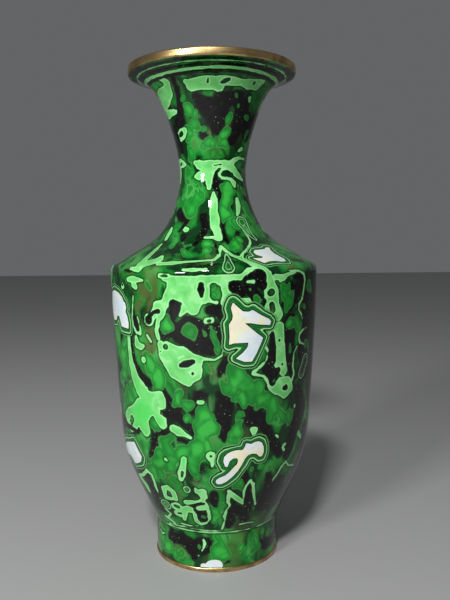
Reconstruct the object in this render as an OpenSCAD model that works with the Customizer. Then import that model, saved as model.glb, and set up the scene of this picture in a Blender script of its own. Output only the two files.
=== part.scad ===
// Flared vase with a broad shoulder: spun copper shells brazed together, a glassy coat laid over
// them, a thinner lining inside, brass rings at the lip and foot, and mother-of-pearl chips let
// into the coat. +Z is up, the origin is the centre of the foot's underside, and the front faces -Y.
// All lengths are in millimetres and all angles in degrees.

/* [Overall] */
// Height from the foot's underside to the top of the lip
vase_h = 254; // [254:0.5:258]
// Height of the foot, where the body starts
foot_h = 20.5; // [20:0.1:21]
// Outside radius of the brass band at the lip
lip_r = 43.2; // [43:0.1:44]

/* [Wall] */
// Thickness of the glassy coat outside
coat_t = 0.7; // [0.5:0.1:0.9]
// Thickness of the copper
copper_t = 1.2; // [0.8:0.1:1.4]
// Thickness of the lining inside
lining_t = 0.4; // [0.3:0.1:0.6]

/* [Brass rings] */
// Height of the bead around the foot
bead_h = 2.4; // [2:0.1:3]
// How far the foot's bead stands out from the coat
bead_out = 0.5; // [0.2:0.1:1]
// Rounding on the brass edges
brass_round = 0.8; // [0.4:0.1:1]

/* [Finish] */
// Straight bands in each span of the wall's curve
curve_steps = 3; // [2:1:6]
// Number of sides that round shapes are drawn with
sides = 96; // [48:12:180]

/* [Hidden] */
$fn = sides;

copper = "#b06a3a";
brass = "#c8a04a";
enamel = "#1f7a35";
dark_enamel = "#10251a";
solder_grey = "#a8a49a";
pearl = "#eef0ea";

copper_depth = coat_t;
lining_depth = coat_t + copper_t;
wall_t = coat_t + copper_t + lining_t;

// Outside of the wall, as [radius, height]: body, then a round corner, then shoulder and neck
corner_r = 4;
corner_turn = 60;
corner_steps = 6;
shoulder_r = 54;
shoulder_h = 151;
body_knots = [
    [32.8, foot_h], [37.2, 30], [43.2, 43.5], [47, 54], [49.4, 66],
    [51.6, 95], [53.3, 125], [shoulder_r, shoulder_h]
];
neck_knots = [
    [52, 154.5], [44.8, 158.5], [37.9, 162.4], [31.4, 166.6], [26.3, 172], [22.4, 178.4],
    [19.2, 187], [17.3, 197], [17.4, 205], [19.2, 215.5], [22.2, 226], [25.5, 234.8],
    [28.5, 241], [32.6, 245.8], [37.6, 248.7], [40.4, 249.6]
];
rim = [42.8, 250.2];
foot_r = 32.2;

// Catmull-Rom point between b and c
function span_point(a, b, c, d, t) = (2 * b + (c - a) * t + (2 * a - 5 * b + 4 * c - d) * t * t
    + (3 * b - a - 3 * c + d) * t * t * t) / 2;

// Curve through the knots, starting and ending with the two guide points beside them
function curve(knots, before, after) = let (k = concat([before], knots, [after])) [
    for (i = [1 : len(knots) - 1], j = [0 : curve_steps - 1])
        span_point(k[i - 1], k[i], k[i + 1], k[i + 2], j / curve_steps)
];

body_line = curve(body_knots, [29.2, 12.5], [shoulder_r, shoulder_h + 13]);
corner_line = [
    for (i = [0 : corner_steps - 1]) let (a = corner_turn * i / corner_steps)
        [shoulder_r - corner_r + corner_r * cos(a), shoulder_h + corner_r * sin(a)]
];
neck_line = curve(neck_knots, [58.9, 150.6], rim);
wall = concat(body_line, corner_line, neck_line, [neck_knots[len(neck_knots) - 1], rim]);

// Where the wall's sections start and end, as places in that list
low = 0;
split = 5 * curve_steps;
seam_shoulder = len(body_line) + corner_steps / 2;
seam_neck = len(body_line) + corner_steps + 4 * curve_steps;
edge = len(wall) - 2;

// Inward direction at a place in the wall: level at the foot, square to the wall elsewhere
function inward(i) = i == low ? [-1, 0]
    : let (t = wall[min(i + 1, edge + 1)] - wall[i - 1]) [-t[1], t[0]] / norm(t);
function under(i, depth) = wall[i] + depth * inward(i);

// Strip of the wall between two places and two depths
module wall_strip(from, to, top, bottom) {
    rotate_extrude()
        polygon(concat(
            [for (i = [from : to]) under(i, top)],
            [for (i = [to : -1 : from]) under(i, bottom)]
        ));
}

// Strip of the straight foot between two depths
module foot_strip(top_h, top, bottom) {
    rotate_extrude()
        polygon([
            [foot_r - top, bead_h], [body_knots[0][0] - top, top_h],
            [body_knots[0][0] - bottom, top_h], [foot_r - bottom, bead_h]
        ]);
}

// Quarter round from one angle to the next, about a centre
function quarter(centre, r, start) = [
    for (i = [0 : 4]) centre + r * [cos(start + 22.5 * i), sin(start + 22.5 * i)]
];

// Outlines of the chips, as [angle from the front, height]; angles grow to the right
bolt_edge = [
    [10, 138], [9, 135.5], [10, 132], [9.6, 130], [8, 128], [8.3, 122], [8, 118.5], [18, 119.2],
    [17.5, 117], [15, 114.5], [11.5, 112], [16, 110.3], [20, 110.2], [24, 117], [26, 121],
    [19, 126], [16, 128.3], [29.8, 126.8], [30.5, 128.5], [25, 131.5], [20, 134.3], [15, 133.8],
    [12.5, 135.8]
];
hook_edge = [
    [0.5, 52], [3, 54.4], [6, 55.2], [8.5, 57], [12.8, 61], [13.3, 63], [12.5, 64], [10.5, 64],
    [8.5, 62.7], [7.3, 59.6], [6, 60], [5, 62.5], [5.3, 64.8], [7.5, 66.7], [10, 67.6],
    [13, 68], [15.5, 67.7], [17.5, 71], [20.5, 70.3], [25, 71.2], [27, 70.3], [28.3, 68],
    [28.5, 65.5], [27.5, 63.5], [26, 63.3], [24, 65], [21.5, 65.5], [19, 65], [17.3, 63.5],
    [13.5, 57.5], [10.5, 54.5], [7, 52], [4, 50.7], [1.5, 50.7]
];
left_high_edge = [
    [-75, 134], [-72, 141], [-66, 142], [-60, 140.5], [-55, 138], [-51, 131.8], [-50, 128],
    [-50, 124], [-58, 124.5], [-60.5, 129.3], [-63.5, 129.5], [-65.5, 127], [-70, 126.5],
    [-73, 128]
];
left_low_edge = [
    [-72, 61.5], [-66, 64], [-60, 65.3], [-54.5, 66.5], [-51.5, 63.5], [-48, 60], [-50, 57],
    [-55, 55], [-60, 53.8], [-62, 56.2], [-65, 57], [-70, 56.5], [-73, 58]
];
foot_front_edge = [
    [-14, bead_h], [-14, 3.8], [-12, 4.6], [-9.5, 4.4], [-7, 5.9], [-3.5, 6.6], [0, 6.7],
    [3.5, 6.2], [5.7, 4.9], [5.5, bead_h]
];
back_high_edge = [
    [152, 121], [156, 130], [162, 136], [170, 137], [168, 131], [176, 128], [172, 122],
    [164, 124], [160, 116]
];
back_mid_edge = [
    [-146, 76], [-140, 84], [-132, 87], [-126, 92], [-123, 86], [-130, 80], [-134, 72], [-142, 70]
];
back_low_edge = [
    [196, 50], [200, 58], [208, 62], [214, 70], [220, 64.6], [214, 58], [210, 50], [202, 46]
];
side_right_edge = [
    [96, 76], [100, 84], [108, 88], [106, 80], [114, 82], [118, 76], [110, 72], [104, 68]
];
foot_back_edge = [
    [158, bead_h], [159, 5], [163, 7], [168, 7.4], [173, 6.2], [175, bead_h]
];
// These lie on the shoulder, as [angle from the front, radius]
shoulder_right_edge = [
    [29, 50.3], [24, 46.3], [30, 46.3], [32, 45.3], [28.5, 43.5], [28, 41.5], [30, 39.8],
    [40, 39], [43, 37.8], [47, 37.8], [44.5, 40], [44, 43], [46.5, 47.5], [45, 49.5],
    [42, 49.8], [38, 48.8], [33, 49]
];
shoulder_back_edge = [
    [-158, 48], [-152, 50], [-146, 47], [-140, 48.5], [-138, 43], [-144, 38], [-150, 40],
    [-156, 39]
];

// Straight cutter through the wall, facing out at the angle that the outline is centred on
module side_cutter(edge_points, facing, radius) {
    rotate([90, 0, facing])
        linear_extrude(shoulder_r + 6)
            polygon([for (p = edge_points) [radius * sin(p[0] - facing), p[1]]]);
}

// Upright cutter through the shoulder
module top_cutter(edge_points) {
    translate([0, 0, shoulder_h - 3])
        linear_extrude(16)
            polygon([for (p = edge_points) p[1] * [sin(p[0]), -cos(p[0])]]);
}

module bolt_cutter() side_cutter(bolt_edge, 19, 53);
module hook_cutter() side_cutter(hook_edge, 14, 49);
module left_high_cutter() side_cutter(left_high_edge, -62, 53.4);
module left_low_cutter() side_cutter(left_low_edge, -60, 48.5);
module back_high_cutter() side_cutter(back_high_edge, 164, 53.4);
module back_mid_cutter() side_cutter(back_mid_edge, -134, 51.2);
module back_low_cutter() side_cutter(back_low_edge, 208, 48.6);
module side_right_cutter() side_cutter(side_right_edge, 106, 50.6);
module foot_front_cutter() side_cutter(foot_front_edge, -4, 32.4);
module foot_back_cutter() side_cutter(foot_back_edge, 166.5, 32.4);

module foot_coat_whole() foot_strip(foot_h, 0, coat_t);
module body_coat_low_whole() wall_strip(low, split, 0, coat_t);
module body_coat_high_whole() wall_strip(split, seam_shoulder, 0, coat_t);
module shoulder_coat_whole() wall_strip(seam_shoulder, seam_neck, 0, coat_t);

// --- Foot ---
// Brass bead that the vase stands on
module foot_ring() {
    outer = foot_r + bead_out;
    inner = foot_r - wall_t;
    low_c = brass_round;
    high_c = bead_h - brass_round;
    color(brass)
        rotate_extrude()
            polygon(concat(
                quarter([inner + brass_round, low_c], brass_round, 180),
                quarter([outer - brass_round, low_c], brass_round, 270),
                quarter([outer - brass_round, high_c], brass_round, 0),
                [[inner, bead_h]]
            ));
}

module foot_shell() {
    color(copper)
        foot_strip(foot_h, copper_depth, lining_depth);
}

module foot_coat() {
    color(enamel)
        difference() {
            foot_coat_whole();
            foot_front_cutter();
            foot_back_cutter();
        }
}

module foot_lining() {
    color(dark_enamel)
        foot_strip(base_under, lining_depth, wall_t);
}

// --- Base, closing the body inside the top of the foot ---
base_top = foot_h;
base_plate_under = base_top - copper_t;
base_under = base_plate_under - lining_t;
base_r = 30;
base_solder_r = body_knots[0][0] - lining_depth - 0.06;

module base_plate() {
    color(copper)
        translate([0, 0, base_plate_under])
            cylinder(r = base_r, h = copper_t);
}

module base_coat() {
    color(dark_enamel)
        translate([0, 0, base_under])
            cylinder(r = base_r, h = lining_t);
}

// Ring of braze between the base plate and the foot
module solder_foot() {
    color(solder_grey)
        translate([0, 0, base_under])
            difference() {
                cylinder(r = base_solder_r, h = base_top - base_under);
                translate([0, 0, -1])
                    cylinder(r = base_r, h = base_top - base_under + 2);
            }
}

// --- Body ---
module body_shell() {
    color(copper)
        wall_strip(low, seam_shoulder - 1, copper_depth, lining_depth);
}

module body_coat_low() {
    color(enamel)
        difference() {
            body_coat_low_whole();
            hook_cutter();
            left_low_cutter();
            back_mid_cutter();
            back_low_cutter();
            side_right_cutter();
        }
}

module body_coat_high() {
    color(enamel)
        difference() {
            body_coat_high_whole();
            bolt_cutter();
            left_high_cutter();
            back_high_cutter();
        }
}

// Lining of the body and shoulder, with a floor over the base plate
module body_lining() {
    floor_h = foot_h + lining_t;
    color(dark_enamel)
        union() {
            wall_strip(low, seam_neck, lining_depth, wall_t);
            translate([0, 0, foot_h])
                cylinder(r = body_knots[0][0] - wall_t + 0.1, h = floor_h - foot_h);
        }
}

module solder_shoulder() {
    color(solder_grey)
        wall_strip(seam_shoulder - 1, seam_shoulder, copper_depth, lining_depth);
}

// --- Shoulder ---
module shoulder_shell() {
    color(copper)
        wall_strip(seam_shoulder, seam_neck - 1, copper_depth, lining_depth);
}

module shoulder_coat() {
    color(enamel)
        difference() {
            shoulder_coat_whole();
            top_cutter(shoulder_right_edge);
            top_cutter(shoulder_back_edge);
        }
}

module solder_neck() {
    color(solder_grey)
        wall_strip(seam_neck - 1, seam_neck, copper_depth, lining_depth);
}

// --- Neck ---
module neck_shell() {
    color(copper)
        wall_strip(seam_neck, edge, copper_depth, lining_depth);
}

module neck_coat() {
    color(enamel)
        wall_strip(seam_neck, edge + 1, 0, coat_t);
}

module neck_lining() {
    color(dark_enamel)
        wall_strip(seam_neck, edge, lining_depth, wall_t);
}

// Brass band around the lip; the copper and lining end against its inside, the coat under it
module lip_ring() {
    inner_r = under(edge, wall_t)[0];
    top_c = vase_h - brass_round;
    color(brass)
        rotate_extrude()
            polygon(concat(
                [under(edge, wall_t), under(edge, coat_t), under(edge + 1, coat_t), rim],
                [[lip_r, rim[1] + 0.3]],
                quarter([lip_r - brass_round, top_c], brass_round, 0),
                quarter([inner_r + brass_round, top_c], brass_round, 90)
            ));
}

// --- Mother-of-pearl chips, as thick as the coat that they are let into ---
module chip() {
    color(pearl)
        intersection() {
            children(0);
            children(1);
        }
}

module pearl_bolt() chip() { body_coat_high_whole(); bolt_cutter(); }
module pearl_left_high() chip() { body_coat_high_whole(); left_high_cutter(); }
module pearl_back_high() chip() { body_coat_high_whole(); back_high_cutter(); }
module pearl_hook() chip() { body_coat_low_whole(); hook_cutter(); }
module pearl_left_low() chip() { body_coat_low_whole(); left_low_cutter(); }
module pearl_back_mid() chip() { body_coat_low_whole(); back_mid_cutter(); }
module pearl_back_low() chip() { body_coat_low_whole(); back_low_cutter(); }
module pearl_side_right() chip() { body_coat_low_whole(); side_right_cutter(); }
module pearl_shoulder_right() chip() { shoulder_coat_whole(); top_cutter(shoulder_right_edge); }
module pearl_shoulder_back() chip() { shoulder_coat_whole(); top_cutter(shoulder_back_edge); }
module pearl_foot_front() chip() { foot_coat_whole(); foot_front_cutter(); }
module pearl_foot_back() chip() { foot_coat_whole(); foot_back_cutter(); }

foot_ring();
foot_shell();
foot_coat();
foot_lining();
base_plate();
base_coat();
solder_foot();
body_shell();
body_coat_low();
body_coat_high();
body_lining();
solder_shoulder();
shoulder_shell();
shoulder_coat();
solder_neck();
neck_shell();
neck_coat();
neck_lining();
lip_ring();
pearl_bolt();
pearl_hook();
pearl_left_high();
pearl_left_low();
pearl_shoulder_right();
pearl_foot_front();
pearl_back_high();
pearl_back_mid();
pearl_back_low();
pearl_side_right();
pearl_shoulder_back();
pearl_foot_back();
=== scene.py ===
"""A shouldered vase with a flared neck: a marbled green coat over copper, brass rings and pearl chips.

Lengths in the outlines and strokes below are in millimetres. A place on the wall is an angle in degrees,
0 at the front and growing to the right, and a distance up the wall from the floor, measured along its curve.
"""

import math
import random

import bmesh
import bpy
import numpy as np
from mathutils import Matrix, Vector


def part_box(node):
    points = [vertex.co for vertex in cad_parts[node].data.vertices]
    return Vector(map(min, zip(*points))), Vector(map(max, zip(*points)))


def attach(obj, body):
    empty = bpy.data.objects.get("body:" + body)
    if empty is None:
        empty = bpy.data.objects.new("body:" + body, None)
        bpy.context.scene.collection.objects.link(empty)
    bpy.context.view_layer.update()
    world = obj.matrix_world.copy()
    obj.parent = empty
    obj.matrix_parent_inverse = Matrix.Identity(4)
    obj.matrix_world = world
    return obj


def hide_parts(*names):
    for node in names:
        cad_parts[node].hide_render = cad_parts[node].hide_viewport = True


bl_info = {
    "name": "Marbled Vase",
    "version": (1, 0, 0),
    "blender": (4, 5, 0),
    "location": "3D View > Sidebar > Vase",
    "description": "Builds a marbled green vase with brass rings and mother-of-pearl chips",
    "category": "Add Mesh",
}

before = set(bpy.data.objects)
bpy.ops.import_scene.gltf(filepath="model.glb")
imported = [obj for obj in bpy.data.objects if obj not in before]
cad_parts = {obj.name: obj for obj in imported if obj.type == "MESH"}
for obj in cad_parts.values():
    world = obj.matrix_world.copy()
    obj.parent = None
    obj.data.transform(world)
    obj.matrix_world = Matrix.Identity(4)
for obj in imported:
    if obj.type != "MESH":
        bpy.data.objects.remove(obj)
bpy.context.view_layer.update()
MM = 0.001
FOOT_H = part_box("foot_coat")[1].z / MM
BEAD_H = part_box("foot_ring")[1].z / MM
LIP_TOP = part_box("lip_ring")[1].z / MM
LIP_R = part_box("lip_ring")[1].x / MM
FOOT_R = 32.2
RIM = (42.8, 250.2)  # radius and height at which the coat meets the brass at the lip
BODY_KNOTS = [
    (32.8, FOOT_H), (37.2, 30), (43.2, 43.5), (47, 54), (49.4, 66), (51.6, 95), (53.3, 125), (54, 151),
]
NECK_KNOTS = [
    (52, 154.5), (44.8, 158.5), (37.9, 162.4), (31.4, 166.6), (26.3, 172), (22.4, 178.4), (19.2, 187),
    (17.3, 197), (17.4, 205), (19.2, 215.5), (22.2, 226), (25.5, 234.8), (28.5, 241), (32.6, 245.8),
    (37.6, 248.7), (40.4, 249.6),
]
CORNER = (50, 151, 4, 60)  # the shoulder's rounding: centre radius, centre height, radius, degrees
BODY_SPLIT = 95  # height at which the body's coat is in two
BODY_TOP = 148.5  # height at which the body's coat ends and the shoulder's begins
NECK_ROOT = 172  # height at which the shoulder ends and the neck begins


# ---------------------------------------------------------------- the wall's curve
def curve(knots, before, after, steps=24):
    """Catmull-Rom curve through the knots, without its last point."""
    k = np.array([before, *knots, after], float)
    t = (np.arange(steps) / steps)[:, None]
    spans = []
    for a, b, c, d in zip(k, k[1:], k[2:], k[3:]):
        spans.append((2 * b + (c - a) * t + (2 * a - 5 * b + 4 * c - d) * t**2
                      + (3 * b - a - 3 * c + d) * t**3) / 2)
    return np.concatenate(spans)


def corner():
    """Arc that rounds the body over into the shoulder."""
    r0, h0, r, turn = CORNER
    a = np.radians(np.linspace(0, turn, 24, endpoint=False))
    return np.stack([r0 + r * np.cos(a), h0 + r * np.sin(a)], 1)


WALL = np.concatenate([
    [(FOOT_R, 0), (BODY_KNOTS[0][0], FOOT_H - 0.01)],
    curve(BODY_KNOTS, (29.2, 12.5), (54, 164)), corner(),
    curve(NECK_KNOTS, (58.9, 150.6), RIM), [NECK_KNOTS[-1], RIM],
])
UP = np.concatenate([[0], np.cumsum(np.hypot(*np.diff(WALL, axis=0).T))])
WALL_TOP = UP[-1]


def wall_at(up, depth=0.0):
    """Radius and height of the wall at distances up it, and inwards from it, in millimetres."""
    up = np.asarray(up, float)
    r, h = np.interp(up, UP, WALL[:, 0]), np.interp(up, UP, WALL[:, 1])
    step = 0.4
    low, high = np.clip(up - step, 0, WALL_TOP), np.clip(up + step, 0, WALL_TOP)
    tr = np.interp(high, UP, WALL[:, 0]) - np.interp(low, UP, WALL[:, 0])
    th = np.interp(high, UP, WALL[:, 1]) - np.interp(low, UP, WALL[:, 1])
    n = np.hypot(tr, th)
    return r - depth * th / n, h + depth * tr / n


def up_at(height):
    """Distance up the wall at a height."""
    return np.interp(height, WALL[:, 1], UP)


def place(angle, up, out=0.0):
    """Point in metres at an angle and a distance up the wall, standing out from it in millimetres."""
    r, h = wall_at(up, -out)
    a = np.radians(angle)
    return np.stack([r * np.sin(a), -r * np.cos(a), h], -1) * MM


# ---------------------------------------------------------------- the marbling, stroke by stroke
# Each stroke is a chain of rounds: (angle, up, half width).
BRIGHT = [
    # body, upper front
    [(-24, 152.3, 1.2), (-10, 151, 2.6), (4, 152.5, 1.5), (14, 152.8, 1.2)],
    [(-19, 149.6, 3.6), (-17.6, 146.4, 4.6), (-13, 146, 4.6), (-9.6, 142, 4.6), (-9.4, 138.8, 3)],
    [(-13.4, 139, 2.2), (-16, 135.6, 0.9), (-20.5, 146, 3.2), (-25, 139, 1.6)],
    [(-4, 142.6, 2), (2, 151.6, 1.6), (5.6, 150, 2), (7, 146, 1.8), (5.6, 141.6, 1.4), (6.6, 138, 0.9)],
    [(-4.4, 152.4, 1.4), (-2.8, 148, 0.7), (-3.6, 143, 0.9), (2, 141.6, 0.8)],
    [(-29, 140, 1.7), (-26, 140, 2.2), (-26, 136.6, 2), (-28, 132.4, 1.3), (-29.6, 128, 0.8),
     (-28.6, 124.4, 1)],
    [(-27.4, 121.4, 1.9), (-24.6, 117, 3.9), (-21, 112.6, 4.2), (-19.6, 109.4, 3.8), (-14.6, 106.4, 3.2)],
    [(-14.6, 106.4, 3.2), (-12.6, 104, 1.8)], [(-9, 107.4, 2.2), (-12, 106, 2.4)],
    [(-24, 121.6, 1.6), (-18.4, 118.4, 2.8), (-14.6, 118.6, 2), (-9, 114.6, 2), (-8, 110, 2.4),
     (-8, 107.6, 2)],
    [(-15, 120, 0.9), (-9, 115.6, 1.6), (-4, 115.4, 0.6), (1, 115, 0.5), (4.6, 117, 0.5), (5, 119.4, 0.5)],
    [(7.5, 146, 1.6), (8.5, 142, 1.1), (14, 142.2, 0.9), (19, 142.2, 1), (21.5, 138.8, 1), (25, 137, 1)],
    [(14, 152.6, 1.2), (18, 156, 1), (23, 157, 0.8)],
    [(29, 154, 1.2), (29.6, 150, 2.6), (30.4, 145.4, 4), (31, 139, 4), (34.6, 134.6, 3)],
    [(30.4, 127.6, 0.5), (28.2, 125, 0.5), (27, 121, 0.5), (29.4, 117, 0.5), (28, 112.6, 0.5),
     (24.4, 110.4, 0.5)],
    [(24.4, 110.4, 0.5), (20.6, 108.6, 0.6)], [(33, 152.4, 1.4), (38, 152, 1.4)],
    [(36, 128, 3.2), (36.5, 120, 3.4), (37, 112, 3.6), (39.5, 107.5, 2.6)],
    [(36, 150.6, 0.8), (40, 153, 0.9), (46, 154.2, 0.7)], [(31, 127.6, 0.6), (34, 128, 0.8)],
    [(34, 99, 1.8), (38, 101.5, 2.6), (43, 101.5, 2.6), (45.5, 98, 2.2), (41, 95.4, 1.8), (37, 98, 2)],
    [(26.5, 112, 0.6), (20.3, 107.6, 0.6), (27, 106, 0.6), (29.5, 103, 0.8), (31, 99.5, 0.8),
     (35, 97.5, 1.4)],
    # body, upper left
    [(-49, 151.3, 1.2), (-45, 151.4, 1.7), (-40.5, 151.4, 1), (-37.5, 151.2, 0.5)],
    [(-44, 149, 1.8), (-42.5, 148, 1.2)], [(-18, 111.6, 3.4), (-13.4, 113, 4), (-9, 114, 3.4)],
    [(-6, 150, 3.4), (-5.4, 145, 3)], [(-34.2, 132.8, 3)], [(-31.6, 135, 2), (-28, 139, 2)],
    [(-44.8, 143.6, 0.4), (-46.4, 134, 0.35), (-46, 129.4, 0.4), (-43.6, 126.2, 0.5), (-40.4, 125.6, 0.5)],
    [(-40.4, 125.6, 0.5), (-40.2, 128, 0.5), (-42, 133.6, 0.35)],
    [(-44, 123.6, 0.9), (-43.6, 120.4, 1.7), (-40.8, 119.4, 1.7), (-38.8, 120, 1)], [(-39.2, 113.2, 1.5)],
    [(-35.8, 125.4, 0.7), (-33.4, 122.4, 0.5)],
    [(-50.8, 124.6, 1), (-50.6, 116, 1.4), (-49.4, 110, 2.4), (-46.5, 104, 3.6), (-42.6, 99, 4.6)],
    [(-40, 95, 4), (-35, 93.5, 4.6), (-29.6, 95.6, 3.4), (-28.8, 92.4, 2.4)], [(-54.5, 148, 1.6)],
    [(-26.6, 153.5, 1.1), (-22, 153.4, 1.1)],
    # body, lower left
    [(-61, 82, 2), (-56, 84, 3.4), (-50, 85, 4.4), (-43, 88, 6), (-37, 91, 4.4)],
    [(-60, 78.4, 2), (-56, 77, 2.6), (-51, 80, 3), (-44, 82, 4.4), (-41.4, 78, 3)],
    [(-33, 88.6, 2.4), (-30.4, 85, 2.6), (-28.6, 82.6, 2.2), (-27.4, 85.4, 1)],
    [(-60, 50, 0.9), (-54, 51.3, 0.8), (-50, 53.4, 0.8), (-46, 56, 1), (-42.4, 54, 0.9), (-42, 49, 0.8)],
    [(-42.3, 48, 0.8), (-43.2, 43, 0.8)], [(-59, 48.5, 1.8), (-55.5, 45, 2.2), (-54, 41.4, 1)],
    [(-35.6, 43, 1.3), (-35.2, 47.4, 1.5), (-31.5, 48.8, 1.4), (-28.2, 46.8, 1.5), (-27.5, 42, 1.3)],
    [(-36, 41.6, 1), (-31, 41.6, 1)],
    [(-31, 36.8, 2), (-28, 36.9, 2.9), (-24.5, 35.8, 1.8), (-20, 36.5, 2.2), (-17, 36, 1.8)],
    [(-30.5, 32.2, 1.6), (-27.5, 32.4, 2.3), (-23, 33.6, 1.4), (-25, 29, 1)],
    [(-45, 38, 0.7), (-44.2, 34, 0.7), (-40, 32, 0.7), (-37.2, 30.4, 0.7), (-41, 28, 0.6)],
    [(-46, 27, 0.7), (-41, 26, 1), (-37, 24.4, 0.6)],
    # body, lower middle
    [(-20, 41, 1.5), (-13, 41.9, 0.8), (-8.5, 43.2, 0.9), (-6.4, 41, 0.8), (-4.8, 36.5, 0.8)],
    [(-4.8, 36, 0.8), (-4.6, 31, 0.8), (-7.5, 28, 0.8), (-11.5, 26.8, 0.8), (-15, 29, 0.9),
     (-15.4, 33, 1.1)],
    [(-12, 50.6, 0.6), (-11, 48.5, 1.3), (-8, 48.4, 2.2), (-7.2, 45.5, 1.8), (-8, 43.8, 1)],
    [(-17, 66.4, 1.3), (-18, 62.6, 1.6), (-19.3, 58.4, 2.1), (-20.2, 55.6, 1.3)],
    [(-1.8, 68.5, 2.3), (-1, 65.6, 1.1), (-1.2, 63.4, 0.7)], [(-28.6, 65.4, 0.9), (-27.6, 64.6, 0.6)],
    [(22, 80.4, 2), (22, 77.4, 0.5)],
    [(8.6, 49.2, 0.6), (11, 46.5, 1.3), (14, 44.3, 1.5), (17, 42.2, 1.2), (19.4, 40.6, 0.9)],
    [(9, 46.5, 0.8), (8.8, 42, 0.7), (10.4, 39, 0.7), (8, 36, 0.6), (6.8, 32.6, 0.6)],
    [(6.8, 32.6, 0.6), (8, 29.4, 0.7), (6.4, 26.2, 0.7), (5.5, 23.6, 0.5)],
    [(19.5, 40, 0.5), (19.4, 44, 0.5), (18.5, 48, 0.5), (19.6, 51.4, 0.6), (22, 54, 0.7), (24, 51.6, 0.7)],
    [(24, 51.6, 0.7), (25.6, 46.6, 0.7), (27.4, 42, 0.6), (29.4, 38, 0.5)],
    [(34.2, 47.6, 0.9), (35, 46, 0.6)], [(44.2, 68.5, 2.2)], [(34, 75, 1.6), (37, 74.6, 1.4)],
    [(58, 55.5, 0.5), (51, 57, 0.5), (47, 60, 0.6), (43.4, 57.4, 0.6), (41, 53.6, 0.6), (38.6, 51.2, 0.6)],
    [(38.6, 51.2, 0.6), (39.4, 46, 0.5), (40.5, 42, 0.4)], [(51, 88, 1), (54, 89, 0.8)],
    [(57, 73, 1.2), (61, 70, 0.8)],
    [(-50, 21.2, 0.3), (-20, 21.3, 0.4), (10, 21, 0.35), (40, 20.9, 0.3), (75, 21.3, 0.3)],
    [(-45, 22.6, 0.15), (-28, 23.4, 0.3), (-8, 22.6, 0.25), (4, 22.6, 0.15)],
    [(-30, 25.4, 0.3), (-22, 24.8, 0.5), (-14, 25.4, 0.2)],
    [(20, 25.6, 0.2), (27, 25.8, 0.4), (34, 25, 0.2)],
    # foot
    [(-64, 15, 0.4), (-60, 13.6, 0.6), (-54, 15, 0.3)],
    # shoulder
    [(-48, 179, 0.6), (-46.4, 175, 1.1), (-44.4, 168, 1.6), (-43, 161, 2), (-41, 157, 2)],
    [(-33, 167, 1.4), (-33, 163.8, 2.6), (-37, 161, 2.2), (-40.6, 158, 2)],
    [(-30, 160.8, 1.5), (-22, 161.4, 1.4), (-14, 162.6, 1), (-4, 163.6, 0.7), (1, 164.2, 0.8)],
    [(1, 164.2, 0.8), (3.6, 167.4, 1), (4.8, 172, 1), (6.4, 177, 0.5)],
    [(6.4, 177, 0.5), (9.4, 172, 0.9), (12.4, 168, 0.9), (16.6, 165.4, 1.1), (19, 163, 1.6),
     (22, 159.6, 1.9)],
    [(22, 159.6, 1.9), (25.5, 157, 1.5), (28.5, 154.2, 1.2)],
    [(16.6, 165.4, 1.2), (20, 170, 0.6), (26, 174.2, 0.5), (31, 178, 0.45), (34.6, 181.6, 0.4),
     (35.4, 185, 0.35)],
    [(35.4, 185, 0.35), (33, 189, 0.3)], [(-14.5, 156.4, 0.6), (-9, 156.4, 0.9), (-3, 156.7, 0.7)],
    [(-41.4, 160.6, 2.2), (-37, 162, 2.6), (-34, 163, 2.4)],
    [(-46.8, 157, 0.9), (-43, 156.4, 1.4), (-40.4, 157, 1.6)], [(36, 160, 1), (42, 160.2, 0.9)],
    # neck
    [(1.6, 209.4, 0.8), (1.8, 206, 1.7), (1.2, 200, 2.1), (2.6, 196, 2.5), (3, 191, 2.2), (5.6, 186.6, 2)],
    [(5.6, 186.6, 2), (5.4, 183, 1.6), (0.6, 184, 1), (-7, 184, 0.5)],
    [(39.6, 206.4, 1), (39, 203, 1.5), (36.6, 200, 1.2), (33, 197.4, 0.6)],
    [(-33.6, 190.4, 1.2), (-29, 189.2, 1.5)], [(-54, 190.6, 0.7), (-51.6, 187, 1.4), (-49, 183, 1)],
    [(-29.6, 224.8, 1), (-22, 223.8, 2), (-12, 222.6, 3), (-2, 222.6, 3.2), (8, 224, 1.7)],
    [(8, 224, 1.7), (20, 224, 1.9), (30, 223.6, 2), (38, 225.8, 1.4), (48, 227.4, 0.8), (66, 227.2, 0.3)],
    [(-29, 218, 1), (-23, 218, 1.9), (-13, 218.6, 2.8), (-4, 218, 2.7), (-4.6, 214.6, 1.9), (-5.6, 212, 1)],
    [(36, 222, 1.8), (42, 220, 1.8), (50, 218.4, 1.6), (62, 216.4, 0.6)],
    [(10.4, 218.7, 0.5), (16, 217, 0.6), (26, 216.8, 0.7), (33, 216.4, 0.9), (38, 214.6, 1.4),
     (38.4, 213, 0.6)],
    [(10.4, 218.7, 0.5), (16, 221, 0.5), (24, 221.8, 0.5), (34, 221.4, 0.6)],
    [(-80, 225, 1.8), (-68, 225.4, 2.4), (-60, 224.8, 1.8), (-52, 224.4, 0.7)],
    [(-60, 237, 1.5), (-54, 238.4, 2.4), (-48, 239.6, 2.6), (-42, 240.8, 1.6)],
    [(-72, 258, 5), (-62, 259, 5), (-54, 261, 4.4), (-47.4, 265, 2.4)],
    [(-56, 268.8, 1), (-50, 267.4, 1.4)],
    [(-72, 250.6, 2.2), (-60, 250.8, 1.7), (-52, 250.8, 1.3), (-47, 250.6, 0.6)],
    [(-24.6, 264, 1.2), (-19.4, 262.2, 3), (-10, 262.8, 3.2), (0, 262.8, 3.2), (8.6, 260.8, 2.2)],
    [(0, 262.8, 3.2), (12, 264, 2.4), (19, 263.8, 2.4), (30, 263.8, 1.7), (40, 263.4, 2.6), (50, 264, 2.8)],
    [(50, 264, 2.8), (57, 266.2, 1.1)], [(8.6, 259.4, 1.1)], [(11.4, 256.8, 0.6)], [(12, 252.6, 0.6)],
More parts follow.
